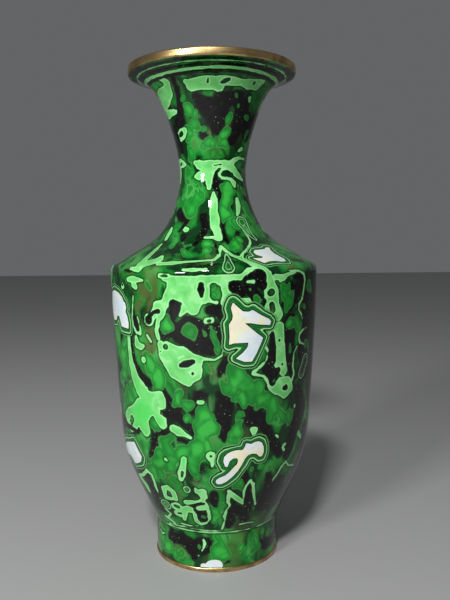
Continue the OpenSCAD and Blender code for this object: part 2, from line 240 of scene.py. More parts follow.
    [(46.6, 257, 0.9), (47.6, 255.4, 0.8)], [(32.6, 246.9, 0.8), (37.4, 248.4, 0.8)],
    [(47, 230.8, 0.8), (53, 232, 1)],
]
# Dark lakes cut into the bright ground
BLACK = [
    [(-19.8, 140.6, 2.3), (-18.2, 139.6, 2.6), (-19.8, 135.6, 2.6)],
    [(-24.6, 130.6, 3), (-24.4, 127, 2.6), (-20.5, 129, 4.2), (-17, 129, 3), (-12.6, 132.8, 3.1),
     (-7, 131.6, 2.8)],
    [(-17.4, 125.4, 3), (-14.5, 123.6, 2.4), (-8, 122, 3.8), (-4, 121, 3.5), (0, 119.2, 2.8),
     (2.6, 119, 1.6)],
    [(-12, 128, 5), (-4, 128, 5.6), (1.6, 128, 4.4), (1.6, 122.6, 4)],
    [(-1.4, 138, 2.4), (2.6, 137.8, 2.6), (4.6, 134.8, 1.8)],
    [(-5.4, 149.6, 1.5), (-5.4, 147.4, 1.8), (-5.2, 144.4, 0.9)],
    [(-16.6, 112, 1.3), (-13.4, 112.9, 1.9), (-10.2, 114, 1.3)],
    [(10.5, 148.6, 3), (15, 147, 3.4), (12, 145, 2)], [(18, 151, 3), (23, 152, 4.6), (25.5, 149, 2.6)],
    [(19, 147, 3), (22.4, 143, 3), (25.6, 141, 2)],
    [(31.4, 125.5, 1.4), (31.8, 119, 2.2), (31.4, 113, 2.6), (27.4, 109, 2), (33, 106.6, 2.8),
     (36, 108, 1.6)],
    [(32.4, 105, 2.6), (32.6, 102.6, 2.2)], [(6.6, 115, 2), (5.6, 111, 3.2), (3.2, 107.8, 1.2)],
    [(40.6, 98.6, 1.2), (42, 98.6, 1.6)], [(-34.2, 132.8, 2.2)],
    [(-33.4, 134.6, 1), (-30.8, 136.6, 0.9), (-28.2, 137.2, 1.3)],
    [(-44, 133, 0.8), (-43.4, 130, 1.6), (-41.8, 127.6, 1)],
    [(-48.6, 127, 0.8), (-48.2, 119, 1.3), (-46.6, 111.5, 1.4), (-42.6, 106, 2), (-37.4, 102.4, 2.4)],
    [(-37.4, 102.4, 2.4), (-33, 100.6, 1.4), (-27.4, 100.4, 1.2), (-24.6, 96, 1.5), (-23, 92, 2.4)],
    [(-58, 123.5, 2.2), (-58.4, 119.6, 2.4)], [(-35.6, 84.4, 1.4), (-35.2, 80.4, 2.8), (-34.4, 77, 2.8)],
    [(-34.4, 77, 2.8), (-35.4, 72, 2.8), (-36.6, 69, 2), (-39, 65.4, 1.6)],
    [(-33, 79, 2), (-27, 78.6, 1.4)], [(-27, 78.6, 1.4), (-22, 76.4, 0.8), (-12, 75.4, 0.5)],
    [(-29.4, 88.2, 0.9), (-24, 88, 3), (-19.6, 87.6, 2.6), (-14, 83, 2), (-12, 82, 2.4),
     (-11.6, 79.6, 1.6)],
    [(-24.4, 96.6, 1), (-23.4, 92.6, 2.4), (-19, 91, 1.6)],
    [(-47.6, 77.4, 1.4), (-49, 76, 1.2), (-60, 77, 1.4), (-66, 78, 2.6), (-74, 74, 3)],
    [(-52.6, 49.6, 1.1), (-47.4, 51, 1.2), (-45.6, 53, 1.1)],
    [(-47.4, 46, 3), (-46.8, 41, 3.2), (-47.6, 36, 2.6)],
    [(-47.6, 36, 2.6), (-45, 31.6, 2), (-50, 33, 2.4)],
    [(-9.5, 99.4, 1), (-7.2, 97.6, 2.8), (-9.8, 92.4, 1.8), (-12, 89.5, 1.2), (-3.6, 98.4, 1)],
    [(3.2, 98.6, 2), (8, 98, 2.4), (6, 93, 4.4), (5, 86, 3.8), (5.4, 80, 3.2), (5.8, 76.8, 1.4)],
    [(19.4, 95.6, 2.4), (18.6, 91, 3.4), (23, 90.4, 3), (20.6, 85.4, 3.6), (25.4, 85, 3.6), (29, 81, 3)],
    [(29, 81, 3), (31.6, 76, 2.4), (36, 71, 3), (39.6, 66, 2.6)], [(13, 93.4, 0.8), (15, 92.6, 0.8)],
    [(-13.4, 58.6, 0.7), (-12.6, 61, 1.2), (-9.6, 62.6, 1.1), (-6, 61.8, 0.8)],
    [(-0.4, 47.6, 2.2), (-0.6, 43, 2.2), (0, 39.6, 1.2)], [(17, 60, 1.6), (18, 55.6, 2.4), (15, 57.4, 1)],
    [(21.6, 50.8, 0.8), (21.8, 46.8, 1.9), (22.8, 41, 2.4), (24.6, 35, 2.4)],
    [(12.6, 42, 1), (13.2, 39.4, 1.7), (11.6, 36, 2.2), (12, 30, 2.8), (10.4, 25.6, 2)],
    [(16.6, 37, 2.2), (19, 33, 2.6), (24, 29, 2.6)],
    [(34, 56, 2), (37, 45, 3), (36, 36, 4), (45, 48, 5), (48, 36, 6), (62, 40, 7), (70, 60, 6),
     (66, 74, 4)],
    [(-14, 39, 1.8), (-11, 40.6, 1.1), (-7.6, 41, 0.9)],
    [(-14.2, 36.6, 1.3), (-11, 34, 2), (-9.6, 31, 2.8), (-7, 34, 1)],
    [(46, 152, 1), (52, 151.4, 2.2), (50, 147, 3.4), (47, 142, 2.5), (42, 136.6, 1.6), (38, 139, 1.4)],
    [(57, 141, 4), (60, 128, 5), (56, 116, 5), (61, 106, 5)],
    [(54, 95, 3), (58, 86, 6), (51, 74, 4), (47, 64, 3)],
    [(68, 150, 5), (72, 132, 6), (70, 112, 5), (72, 92, 6)], [(38, 147, 1.3), (42, 145, 5), (43, 140, 3.4)],
    [(44, 130, 4.8), (43.6, 122, 3.8), (44, 116, 3), (44, 110, 2)], [(44, 110, 2), (45.4, 106, 1.6)],
    [(54, 114, 2.4), (56, 128, 1.6), (60, 132, 3)], [(53, 105.4, 1.2), (60, 103, 2)],
    [(-43, 15, 3.4), (-36, 15.6, 3), (-28, 15.6, 3), (-20, 12, 4.6), (-10, 14, 4.4), (-6, 16, 2)],
    [(-20, 7, 1.6)], [(-44, 19, 0.8), (-30, 19, 0.8)], [(46, 11, 2), (52, 9, 3), (62, 9, 3), (74, 12, 3)],
    [(8, 5.6, 1.1), (12, 5.4, 0.5)],
    [(-17, 256.6, 2), (-9, 253, 4), (0, 250.6, 5.4), (6, 246, 5), (7, 240.4, 2.8)],
    [(8, 256, 2.6), (17, 256.6, 2.4)],
    [(12, 246, 2), (16, 250, 2.4), (20, 256, 3), (30, 256, 4), (40, 252, 4), (38, 243, 4), (30, 236, 3)],
    [(48, 247, 4), (60, 240, 4), (74, 246, 5)],
    [(-36, 262, 1.4), (-38.6, 255, 1.8), (-44, 246, 3), (-52, 245, 2.6)],
    [(-36, 267.4, 1.4), (-39, 260, 1)], [(-64.5, 235, 2), (-59, 232, 2), (-64, 243, 2)],
    [(-9.7, 236.6, 2), (-15, 238, 1.6)],
    [(7.4, 220.4, 0.6), (5, 216, 1.6), (4, 213, 1.9), (9, 211.6, 2), (11, 214, 2)],
    [(-25, 221, 0.6), (-21, 220.8, 0.5)],
    [(11, 209, 1.2), (10.6, 204, 0.8), (12, 197, 1), (11.4, 190, 1.2), (11.8, 182, 1.2), (15.6, 174, 1.1),
     (16.6, 168.4, 0.7)],
    [(1.4, 179.4, 1.2), (3.1, 175, 0.7), (3.4, 170, 0.6)],
    [(-12, 197, 2), (-7.6, 190, 1.7), (-12, 184, 1.6), (-14, 178, 1)],
    [(-53, 200, 2.4), (-41, 196, 2), (-33, 194.6, 1.4), (-39, 186, 0.8)],
    [(-29, 185, 1.6), (-27, 181.6, 0.8)], [(26, 187, 1.4), (23, 184.6, 1)],
    [(-12, 158.4, 0.8), (-4, 159, 0.7), (3, 160.4, 0.8)], [(-52, 155.4, 0.7), (-46, 155.4, 0.6)],
    [(24, 164, 0.8), (23, 167, 0.7), (27, 170.6, 0.5)],
]
# Bright islands in the lakes
ISLANDS = [
    [(-2.9, 133.1, 1.4), (-0.6, 133.3, 1.4)], [(17.4, 150.6, 0.8), (20.4, 150.6, 0.8)],
    [(-22.4, 81.2, 1.9), (-19.6, 80.2, 2.2), (-15.6, 78.8, 1.1), (-12.6, 77.4, 0.7)],
    [(-7.8, 94.9, 0.9), (-5.6, 94.9, 0.9)],
    [(-11, 17, 0.3), (-9.8, 15, 0.7), (-10.8, 13, 0.5), (-12.4, 11, 0.2)], [(-15.4, 8.3, 0.4)],
    [(-11.4, 37.8, 1.5), (-8, 38.2, 1.6), (-6.2, 38.6, 1)],
    # thin threads over the dark right flank
    [(42, 155, 0.4), (50, 154.6, 0.5), (54.6, 153, 0.5), (56, 150, 0.5), (55, 146, 0.5), (53.4, 141, 0.45)],
    [(53.4, 141, 0.45), (50.6, 138.6, 0.5), (50.4, 136, 0.5), (53, 133.4, 0.4), (54, 131, 0.3)],
    [(60, 126.4, 0.3), (55, 125.6, 0.5), (52, 124, 0.55), (51.4, 121.6, 0.5), (53, 119.4, 0.45),
     (58, 118, 0.3)],
    [(50, 118, 0.35), (47.4, 115, 0.45), (47, 108.6, 0.5), (48.4, 104.6, 0.5), (46.4, 101, 0.5)],
]
# Mossy or dark eyes inside the bright ground and its islands
EYES = [
    [(-2.4, 133.1, 0.6), (-1.2, 133.2, 0.6)], [(0.6, 148.6, 1.8), (1.6, 145, 2.9)],
    [(30, 145.2, 1.8), (30.8, 145.4, 1.8)], [(30.8, 139.4, 1.6), (31.4, 137, 1.8)], [(-24.6, 120.5, 1.5)],
    [(-27.6, 118.2, 0.4)], [(-10.4, 108.4, 0.8)], [(36, 122.4, 0.8)], [(38.6, 110.4, 0.9)],
    [(-39.4, 123, 1.4)], [(-54.6, 148.4, 0.7)],
    [(-26, 153.5, 0.5), (-24.2, 153.5, 0.9), (-22.4, 153.4, 0.5)], [(-18.7, 59.4, 0.8), (-19.5, 57, 0.8)],
    [(-1.9, 68.6, 0.8)], [(44.2, 68.4, 0.7)], [(-30, 37.2, 1), (-27.6, 36.8, 1.2)],
    [(-29.4, 32.3, 0.8), (-26.8, 32.6, 1)], [(-32, 46, 1), (-33, 43.6, 1)],
    [(-54, 81.6, 2), (-55, 79.6, 1.4)], [(-62, 265, 1.2), (-54, 265.4, 1.3)],
    [(-52.4, 239.2, 1.3), (-48, 239.9, 1.3)], [(-2.5, 265, 0.4), (-3, 263, 0.6)],
    [(10, 262.9, 0.9), (13.4, 263.8, 1.3), (17, 264.8, 1)], [(45.4, 264.4, 1.2)],
    [(17, 218.9, 0.8), (27, 219.2, 1), (35, 219.2, 0.8)],
    [(43, 224.8, 0.6), (51, 224.8, 1), (59, 224.4, 0.7)], [(-71, 225, 0.8), (-65, 225.2, 0.8)],
    [(3, 223.2, 0.4), (15, 223.6, 0.5)],
]
# Soft green clouds, (angle, up, radius, strength)
CLOUDS = [
    (16, 103, 5, 0.8), (22, 99.6, 5, 0.8), (28, 95, 5, 0.8), (33, 89, 5, 0.8), (39, 84, 5, 0.6),
    (22, 10.4, 2.4, 1), (-50, 8, 4, 0.9), (-60, 13, 4, 0.8), (38, 14, 3, 0.7), (41, 10, 2.4, 0.6),
    (-58, 113, 6, 0.9), (-60, 104, 5, 0.8), (-55, 121, 4, 0.8), (-56, 145, 3, 0.5), (-33, 57, 4, 0.7),
    (-44, 86, 10, 0.9), (-48, 96, 7, 0.7), (-34, 84, 5, 0.7), (-36, 96, 6, 0.5), (-60, 90, 6, 0.6),
    (-2.8, 178, 2.8, 0.9), (-2.6, 172, 2.6, 0.8), (-2.4, 167, 2, 0.7), (1.4, 127.4, 3, 0.8),
    (20, 176, 4, 0.9), (42, 146, 5, 0.7), (-40, 37, 3.4, 0.6), (-18, 49, 2.6, 0.7), (-62, 14, 5, 0.7),
    (-58, 7, 4, 0.6), (-38, 6, 3, 0.7), (4, 12, 5, 0.8), (2, 17, 4, 0.7), (50, 17, 4, 0.4),
    (36, 12, 3, 0.5), (-46, 210, 5, 0.5), (-32, 204, 6, 0.7), (-20, 208, 4, 0.5), (-26, 215, 3, 0.5),
    (-44, 221, 4, 0.4), (-28, 240, 4, 0.9), (-22.6, 130, 3.8, 0.95), (-11, 128.4, 3.6, 0.6),
    (0.6, 131, 3, 0.55), (1, 124.6, 3.6, 0.75), (2, 119.6, 2.4, 0.6), (-5, 127, 2.4, 0.45),
    (-2, 112, 3.4, 0.55), (-24.6, 120.6, 1.2, 0.8), (0.6, 149, 2.4, 0.5), (1.8, 144.6, 2, 0.9),
    (19.4, 147, 2, 0.4), (23, 142.6, 3, 0.4), (33, 103.4, 2, 0.3), (-2, 111.5, 3.4, 0.5), (12, 105, 6, 0.9),
    (6, 103, 4, 0.6), (18, 101, 4, 0.8), (26, 98, 4, 0.7), (32, 91, 4.5, 0.8), (38, 85, 4, 0.6),
    (46, 84, 5, 0.7), (-5, 88, 4.6, 1), (-3.4, 81, 5, 1), (-8, 78, 3, 0.7), (13, 88, 3, 0.8),
    (13.2, 81, 3.8, 1), (10, 76, 3, 0.6), (-18.6, 96, 3.6, 0.9), (-13.4, 94, 3, 0.8), (-15.2, 87, 2, 0.8),
    (-34.6, 112, 5, 1), (-31.6, 106, 5, 1), (-26, 72, 6, 0.9), (-34, 64, 5, 0.8), (-38, 56, 5, 0.8),
    (-19, 69, 6, 0.9), (-10, 70, 6, 0.9), (-4, 73, 4, 0.9), (-26, 64, 5, 0.8), (-12, 64, 4, 0.6),
    (-56, 93, 7, 0.7), (-54, 81, 1.6, 0.7), (-24, 52, 4, 0.5), (-5.6, 76.6, 3, 0.8), (-5, 92, 3, 0.7),
    (15, 96, 4, 0.8), (24, 102, 4, 0.8), (-10, 58, 2.6, 0.6), (-27, 60, 3, 0.4), (0, 33, 3.4, 1),
    (-2, 37, 2.6, 0.6), (6, 42, 2, 0.6), (14, 52, 3.4, 0.7), (10, 65, 2.4, 0.8), (28, 62, 2, 0.9),
    (21.6, 59, 2.6, 0.4), (-9.4, 31.4, 2, 0.5), (16, 29, 4, 0.3), (34, 60, 2.6, 0.8), (-56, 97, 3, 0.7),
    (-57, 110, 5, 0.6), (-62, 100, 5, 0.5), (-53, 116, 3, 0.7), (-38, 37, 3, 0.4), (-46, 150, 4, 0.6),
    (-33, 150, 3, 0.5), (40, 142, 4.4, 0.8), (44, 131, 3, 0.7), (49, 129.6, 3, 0.6), (44, 118, 3, 0.6),
    (54, 137, 3, 0.6), (58, 118, 4, 0.4), (62, 146, 4, 0.5), (4, 15, 3, 0.9), (8, 9, 3, 0.9),
    (-56, 10, 4, 0.7), (-33, 8, 3, 0.5), (-15.6, 13.6, 2, 0.35), (22, 10, 2, 0.6), (36, 10, 3, 0.5),
    (-32, 257, 2, 0.5), (-29, 251, 2.6, 0.7), (-26, 244, 3, 0.7), (-33.5, 237, 3.4, 0.8),
    (-38, 230, 3.6, 0.8), (-22, 248, 2, 0.5), (-12, 240.6, 1.6, 0.6), (-13, 232.6, 2.4, 0.7),
    (-3.8, 234.4, 2.4, 0.8), (2.3, 234.6, 1.6, 0.8), (21, 246, 2.2, 0.7), (21.8, 239.6, 3.2, 0.9),
    (18, 234, 2.6, 0.8), (29, 257, 1.8, 0.6), (34, 252.6, 1.4, 0.5), (52, 247, 3, 0.4), (59.5, 239, 3, 0.4),
    (22, 212, 4, 1), (21, 206, 4, 1), (20, 200, 4, 1), (24, 193, 4, 0.9), (29, 209, 3, 0.8),
    (18, 178.6, 2.8, 1), (25, 181.4, 2.4, 0.9), (-18, 171, 3.4, 0.9), (-20, 178, 2.4, 0.6),
    (-32, 176, 2.4, 0.5), (-40, 187, 1.4, 0.8), (-2, 171, 1.4, 0.7), (-5.5, 177, 1.2, 0.5),
    (-33, 206, 4, 0.6), (-21, 205, 3, 0.5), (-45, 217, 3.4, 0.5), (-35, 221, 2, 0.6), (-17, 213, 3, 0.4),
    (57, 200, 6, 0.5), (61, 188, 5, 0.6), (55, 212, 4, 0.4), (-8, 158, 2, 0.4), (60, 168, 5, 0.4),
    (-60, 172, 5, 0.6), (-62, 162, 4, 0.5), (50.5, 175, 4, 0.5),
]
# Olive-brown veils, (angle, up, radius, strength)
VEILS = [
    (-37, 146, 6, 1), (-41, 138, 4, 0.8), (-33, 141, 4, 0.8), (-35, 128, 5, 0.9), (-34, 120, 4, 0.8),
    (-40, 116, 3, 0.6), (-29, 148, 4, 0.7), (-38, 133, 3, 0.7), (1, 149, 3, 0.7), (-1, 111, 3.4, 0.8),
    (-16, 102, 4, 0.7), (6, 106, 3, 0.5), (-27, 112, 2.4, 0.6), (-46, 156, 5, 0.7), (44, 158, 6, 0.7),
    (-15, 14, 3, 0.8), (-24, 46, 5, 0.7), (-29, 56, 4, 0.6), (-12, 56, 3, 0.6), (14, 30, 4, 0.7),
    (-18, 28, 3, 0.5), (17, 79, 2, 0.3), (13, 88, 2.6, 0.5), (-8, 240, 3, 0.4), (-18, 170, 4, 0.4),
    (37, 207, 3, 0.5), (-27, 233, 4, 0.5), (51, 188, 4, 0.5), (30, 145, 2, 0.6), (31, 138, 2, 0.6),
]
# Outlines with a light contour line and nothing light inside
TONGUES = [
    [(37.2, 193.6, 3.2)], [(38, 190.6, 2.4), (40, 186, 1.4), (42, 182.4, 0.7)],
    [(8.2, 157.8, 2.7), (8.4, 161, 1.9), (8.6, 165, 1.1), (8.8, 169.4, 0.3)], [(37.6, 193.6, 0.9)],
    [(60, 110, 3), (56, 104, 2.6)], [(-17.5, 49.5, 1.7)], [(-38.6, 36.4, 2.9)],
]

# Thin rings all the way round the neck under the lip, (up, half width, sway)
BRIGHT_HOOPS = [(275.5, 0.34, 0.2), (270.6, 0.8, 0.5)]
BLACK_HOOPS = [(277.6, 0.8, 0.1), (273, 1, 0.2), (268.6, 0.8, 0.3)]
# Outlines of the chips, by CAD node, as (angle, height) or, on the shoulder, (angle, radius)
CHIPS = {
    "pearl_bolt": [
        (10, 138), (9, 135.5), (10, 132), (9.6, 130), (8, 128), (8.3, 122), (8, 118.5), (10.5, 119.2),
        (18, 119.2), (17.5, 117), (15, 114.5), (11.5, 112), (16, 110.3), (20, 110.2), (22.5, 114),
        (24, 117),
        (26, 121), (22, 123.7), (19, 126), (16, 128.3), (19, 128.2), (24, 127.3), (29.8, 126.8),
        (30.5, 128.5),
        (29, 129.8), (25, 131.5), (20, 134.3), (18, 133.5), (15, 133.8), (12.5, 135.8)],
    "pearl_hook": [
        (0.5, 52), (1.2, 53.2), (3, 54.2), (6, 55.2), (8.5, 57), (10.5, 59), (12.8, 61), (13.3, 63),
        (12.5, 64),
        (10.5, 64), (8.5, 62.7), (7.8, 61), (7.3, 59.8), (6, 60), (5, 62.5), (5.3, 64.8), (7.5, 66.7),
        (10, 67.6),
        (13, 68), (15.5, 67.7), (16.8, 69), (17.5, 71), (19, 70.7), (20.5, 70.3), (22.5, 71), (25, 71.2),
        (27, 70.3), (28.3, 68), (28.5, 65.5), (27.5, 63.5), (26, 63.3), (24, 65), (21.5, 65.5), (19, 65),
        (17.3, 63.5), (15.5, 60.5), (13.5, 57.5), (10.5, 54.5), (7, 52), (4, 50.7), (1.5, 50.7)],
    "pearl_left_high": [
        (-75, 134), (-72, 141), (-66, 142), (-60, 141), (-56, 139.2), (-54.4, 137.2), (-52.6, 136.4),
        (-51.6, 134),
        (-52.6, 132.2), (-51, 130), (-50, 126.6), (-50.4, 124), (-58, 124.5), (-59.5, 127.5),
        (-60.5, 129.3),
        (-63.5, 129.5), (-65.5, 127), (-70, 126.5), (-73, 128)],
    "pearl_left_low": [
        (-72, 61.5), (-66, 64), (-60, 65.3), (-54.5, 66.5), (-51.5, 63.5), (-48, 60), (-50, 57), (-55, 55),
        (-60, 53.8), (-62, 56.2), (-65, 57), (-70, 56.5), (-73, 58)],
    "pearl_foot_front": [
        (-14, 2.6), (-14, 3.8), (-12, 4.6), (-9.5, 4.4), (-7, 5.9), (-3.5, 6.6), (0, 6.7), (3.5, 6.2),
        (5.7, 4.9), (6, 3.6), (5.5, 2.6)],
    "pearl_back_high": [
        (152, 121), (156, 130), (162, 136), (170, 137), (168, 131), (176, 128), (172, 122), (164, 124),
        (160, 116)],
    "pearl_back_mid": [
        (-146, 76), (-140, 84), (-132, 87), (-126, 92), (-123, 86), (-130, 80), (-134, 72), (-142, 70)],
    "pearl_back_low": [
        (196, 50), (200, 58), (208, 62), (214, 70), (220, 64.6), (214, 58), (210, 50), (202, 46)],
    "pearl_side_right": [
        (96, 76), (100, 84), (108, 88), (106, 80), (114, 82), (118, 76), (110, 72), (104, 68)],
    "pearl_foot_back": [(158, 2.6), (159, 5), (163, 7), (168, 7.4), (173, 6.2), (175, 2.6)],
}
SHOULDER_CHIPS = {
    "pearl_shoulder_right": [
        (29, 50.3), (24, 46.3), (30, 46.3), (32, 45.3), (28.5, 43.5), (28, 41.5), (30, 39.8), (40, 39),
        (43, 37.8), (47, 37.8), (44.5, 40), (44, 43), (46.5, 47.5), (45, 49.5), (42, 49.8), (38, 48.8),
        (33, 49)],
    "pearl_shoulder_back": [
        (-158, 48), (-152, 50), (-146, 47), (-140, 48.5), (-138, 43), (-144, 38), (-150, 40), (-156, 39)],
}


def shoulder_up(radius):
    """Distance up the wall at which the shoulder has narrowed to this radius."""
    span = (UP > up_at(CORNER[1])) & (UP < up_at(NECK_ROOT + 6))
    return np.interp(-radius, -WALL[span, 0], UP[span])


def chip_outlines():
    """Every chip's outline as an array of (angle, up the wall)."""
    found = {n: np.array([(a, up_at(h)) for a, h in pts]) for n, pts in CHIPS.items()}
    found.update({n: np.array([(a, shoulder_up(r)) for a, r in pts]) for n, pts in SHOULDER_CHIPS.items()})
    return found


# ---------------------------------------------------------------- how deep a point lies in the marbling
FAR = 7.0  # beyond this many millimetres a stroke has no effect
NIBBLE = 0.9  # how softly strokes run together, in millimetres
CLOUD_REACH = 2.6  # how many of its radii a cloud can be felt over
CLOUD_STEADY = 3.6  # clouds smaller than this, in millimetres, sway less
TINY = 1e-9  # keeps a division by a length of nothing out


def blend_max(a, b):
    """Larger of two fields, rounded off where they are nearly equal."""
    h = np.maximum(NIBBLE - np.abs(a - b), 0) / NIBBLE
    return np.maximum(a, b) + h * h * NIBBLE / 4


def turned(angle):
    """The same angle between -180 and 180 degrees."""
    return (angle + 180) % 360 - 180


class Wall:
    """The places on a piece where the marbling is worked out."""

    def __init__(self, points):
        self.angle = np.degrees(np.arctan2(points[:, 0], -points[:, 1]))
        self.up = up_at(points[:, 2] / MM)
        self.radius = np.hypot(points[:, 0], points[:, 1]) / MM
        x, y, z = points.T / MM
        slow, quick = 1.4, 0.5  # millimetres that the clouds' outlines sway
        self.sway_across = slow * np.sin(z / 2.8 + 1.5 * np.sin(x / 3.1 + y / 4.3))
        self.sway_across += quick * np.sin(z / 1.4 + x / 1.9)
        self.sway_up = slow * np.sin(x / 2.7 + 1.5 * np.sin(z / 3.3))
        self.sway_up += quick * np.sin(x / 1.3 - z / 2.1 + y / 1.7)
        self.order = np.argsort(self.up)
        self.sorted_up = self.up[self.order]

    def across(self, angle, near):
        """Millimetres round the wall from an angle to the points."""
        return turned(self.angle[near] - angle) * self.radius[near] * math.pi / 180

    def near(self, angle, up, reach):
        """The points within a reach of a place, both round the wall and up it."""
        first, last = np.searchsorted(self.sorted_up, [up - reach, up + reach])
        found = self.order[first:last]
        return found[np.abs(self.across(angle, found)) < reach]

    def strokes(self, strokes):
        """Depth inside the strokes in millimetres, negative outside."""
        field = np.full(len(self.up), -FAR)
        own = np.full(len(self.up), -FAR)
        for stroke in strokes:
            touched = []
            pairs = list(zip(stroke, stroke[1:])) or [(stroke[0], stroke[0])]
            for (a0, u0, r0), (a1, u1, r1) in pairs:
                # a degree is less than a millimetre all over the wall
                turn = turned(a1 - a0)
                half = math.hypot(turn / 2, (u1 - u0) / 2)
                near = self.near(a0 + turn / 2, (u0 + u1) / 2, half + max(r0, r1) + FAR)
                if not len(near):
                    continue
                x, y = self.across(a0, near), self.up[near] - u0
                bx = turn * self.radius[near] * math.pi / 180
                by = u1 - u0
                t = np.clip((x * bx + y * by) / np.maximum(bx * bx + by * by, TINY), 0, 1)
                d = r0 + (r1 - r0) * t - np.hypot(x - bx * t, y - by * t)
                own[near] = np.maximum(own[near], d)
                touched.append(near)
            if touched:
                near = np.unique(np.concatenate(touched))
                field[near] = blend_max(field[near], own[near])
                own[near] = -FAR
        return field

    def clouds(self, clouds):
        """Strength of the soft clouds, drawn a little taller than wide and swayed out of round."""
        field = np.zeros(len(self.up))
        for angle, up, radius, strength in clouds:
            near = self.near(angle, up, CLOUD_REACH * radius)
            sway = min(radius / CLOUD_STEADY, 1)
            across = self.across(angle, near) + sway * self.sway_across[near]
            d = np.hypot(across * 1.08, (self.up[near] - up + sway * self.sway_up[near]) * 0.86) / radius
            field[near] = np.maximum(field[near], strength * np.exp(-(d**2) * 1.1))
        return field

    def chips(self, outlines):
        """Distance outside the nearest chip's edge in millimetres, negative inside it."""
        field = np.full(len(self.up), FAR * 2)
        for outline in outlines:
            middle = outline.mean(0)
            reach = FAR * 2 + np.ptp(outline[:, 1]) + np.ptp(outline[:, 0])
            near = self.near(middle[0], middle[1], reach)
            if not len(near):
                continue
            x, y = self.across(middle[0], near), self.up[near]
            scale = self.radius[near] * math.pi / 180
            best, inside = np.full(len(near), 1e9), np.zeros(len(near), bool)
            for (a0, u0), (a1, u1) in zip(outline, np.roll(outline, -1, 0)):
                px, qx = (a0 - middle[0]) * scale, (a1 - middle[0]) * scale
                bx, by = qx - px, u1 - u0
                t = np.clip(((x - px) * bx + (y - u0) * by) / (bx * bx + by * by + TINY), 0, 1)
                best = np.minimum(best, np.hypot(x - px - bx * t, y - u0 - by * t))
                crosses = (u0 > y) != (u1 > y)
                inside ^= crosses & (x < px + bx * (y - u0) / (by if by else TINY))
            field[near] = np.minimum(field[near], np.where(inside, -best, best))
        return field


# ---------------------------------------------------------------- marbling where the strokes above stop
def free_marbling(seed):
    """Strokes and clouds of the same kinds for the back and the flanks, beyond 75 degrees either way."""
    rng = random.Random(seed)
    bright, black, clouds = [], [], []
    start, stop = 76, 284
    foot, body, neck = (4, 19), (22, 154), (156, 268)

    def wander(up_range, width, bends):
        """A chain of rounds that starts somewhere in the range and turns a little at each step."""
        angle, up = rng.uniform(start + 4, stop - 4), rng.uniform(*up_range)
        degrees = 48 / wall_at(up)[0]
        heading = rng.uniform(0, 360)
        chain = []
        for _ in range(bends):
            chain.append((turned(angle), up, width * rng.uniform(0.5, 1.2)))
            heading += rng.uniform(-70, 70)
            stride = width * rng.uniform(1.4, 2.6)
            angle = min(max(angle + stride * degrees * math.cos(math.radians(heading)), start), stop)
            up = min(max(up + stride * math.sin(math.radians(heading)), up_range[0]), up_range[1])
        return chain

    kinds = [
        (bright, body, 70, (1, 4), (2, 6)), (black, body, 66, (1.6, 4.6), (2, 4)),
        (bright, neck, 56, (0.6, 2.4), (2, 5)), (black, neck, 44, (1, 3.2), (2, 4)),
    ]
    for strokes, up_range, count, widths, bends in kinds:
        for _ in range(count):
            strokes.append(wander(up_range, rng.uniform(*widths), rng.randint(*bends)))
    for _ in range(8):
        bright.append(wander(foot, rng.uniform(0.5, 1.6), 3))
        black.append(wander(foot, rng.uniform(1.4, 3), 3))
    for _ in range(110):
        angle, up = turned(rng.uniform(start, stop)), rng.uniform(4, 262)
        clouds.append((angle, up, rng.uniform(2, 5), rng.uniform(0.4, 1)))
    return bright, black, clouds


def hoop(up, width, sway):
    """A stroke all the way round, swaying up and down a little."""
    return [(a, up + sway * math.sin(math.radians(a * 3 + 40)), width) for a in range(-180, 181, 15)]


def marble(piece):
    """Stores on each point of a coat how deep it lies in each kind of marbling, in millimetres."""
    more_bright, more_black, more_clouds = free_marbling(seed=11)
    more_black += [hoop(*ring) for ring in BLACK_HOOPS]
    more_bright += [hoop(*ring) for ring in BRIGHT_HOOPS]
    count = len(piece.data.vertices)
    flat = np.empty(count * 3)
    piece.data.vertices.foreach_get("co", flat)
    wall = Wall(flat.reshape(-1, 3))
    black = wall.strokes(BLACK + more_black)
    islands = wall.strokes(ISLANDS)
    eyes = wall.strokes(EYES)
    bright = np.minimum(wall.strokes(BRIGHT + more_bright), -black)
    bright = np.minimum(np.maximum(bright, islands), -eyes)
    fields = {
        "bright": bright,
        "black": np.minimum(black, -islands),
        "tongue": wall.strokes(TONGUES),
        "cloud": wall.clouds(CLOUDS + more_clouds),
        "veil": wall.clouds(VEILS),
        "chip": wall.chips([o for o in chip_outlines().values() if o[0, 1] > FOOT_H]),
    }
    for name, values in fields.items():
        layer = piece.data.attributes.new(name, "FLOAT", "POINT")
        layer.data.foreach_set("value", values.astype(np.float32))


# ---------------------------------------------------------------- colours and sizes a user would change
def srgb(red, green, blue):
    """A display colour of 0 to 255 a channel as a scene colour."""
    return (*[((c / 255 + 0.055) / 1.055) ** 2.4 if c > 10 else c / 3295 for c in (red, green, blue)], 1.0)


def colour_property(name, description, *display):
    return bpy.props.FloatVectorProperty(
        name=name, description=description, subtype="COLOR", size=4, min=0, max=1, default=srgb(*display))


def length_property(name, description, millimetres):
    return bpy.props.FloatProperty(
        name=name, description=description, default=millimetres * MM, min=0,
        subtype="DISTANCE", unit="LENGTH")


class VaseSizes(bpy.types.PropertyGroup):
    coat: length_property("Coat", "Thickness of the marbled coat", 0.7)
    copper: length_property("Copper", "Thickness of the copper under the coat", 1.2)
    lining: length_property("Lining", "Thickness of the lining inside", 0.4)
    rows: length_property("Rows", "Spacing of the points up the coat", 0.62)
    brass_round: length_property("Brass rounding", "Rounding on the edges of the brass rings", 0.8)
    chip_grid: length_property("Chip grid", "Spacing of the points across a chip", 1.2)
    chip_proud: length_property("Chip height", "How far a chip stands above the coat", 0.06)
    segments: bpy.props.IntProperty(
        name="Segments", description="Faces around the body", default=480, min=48, max=720)


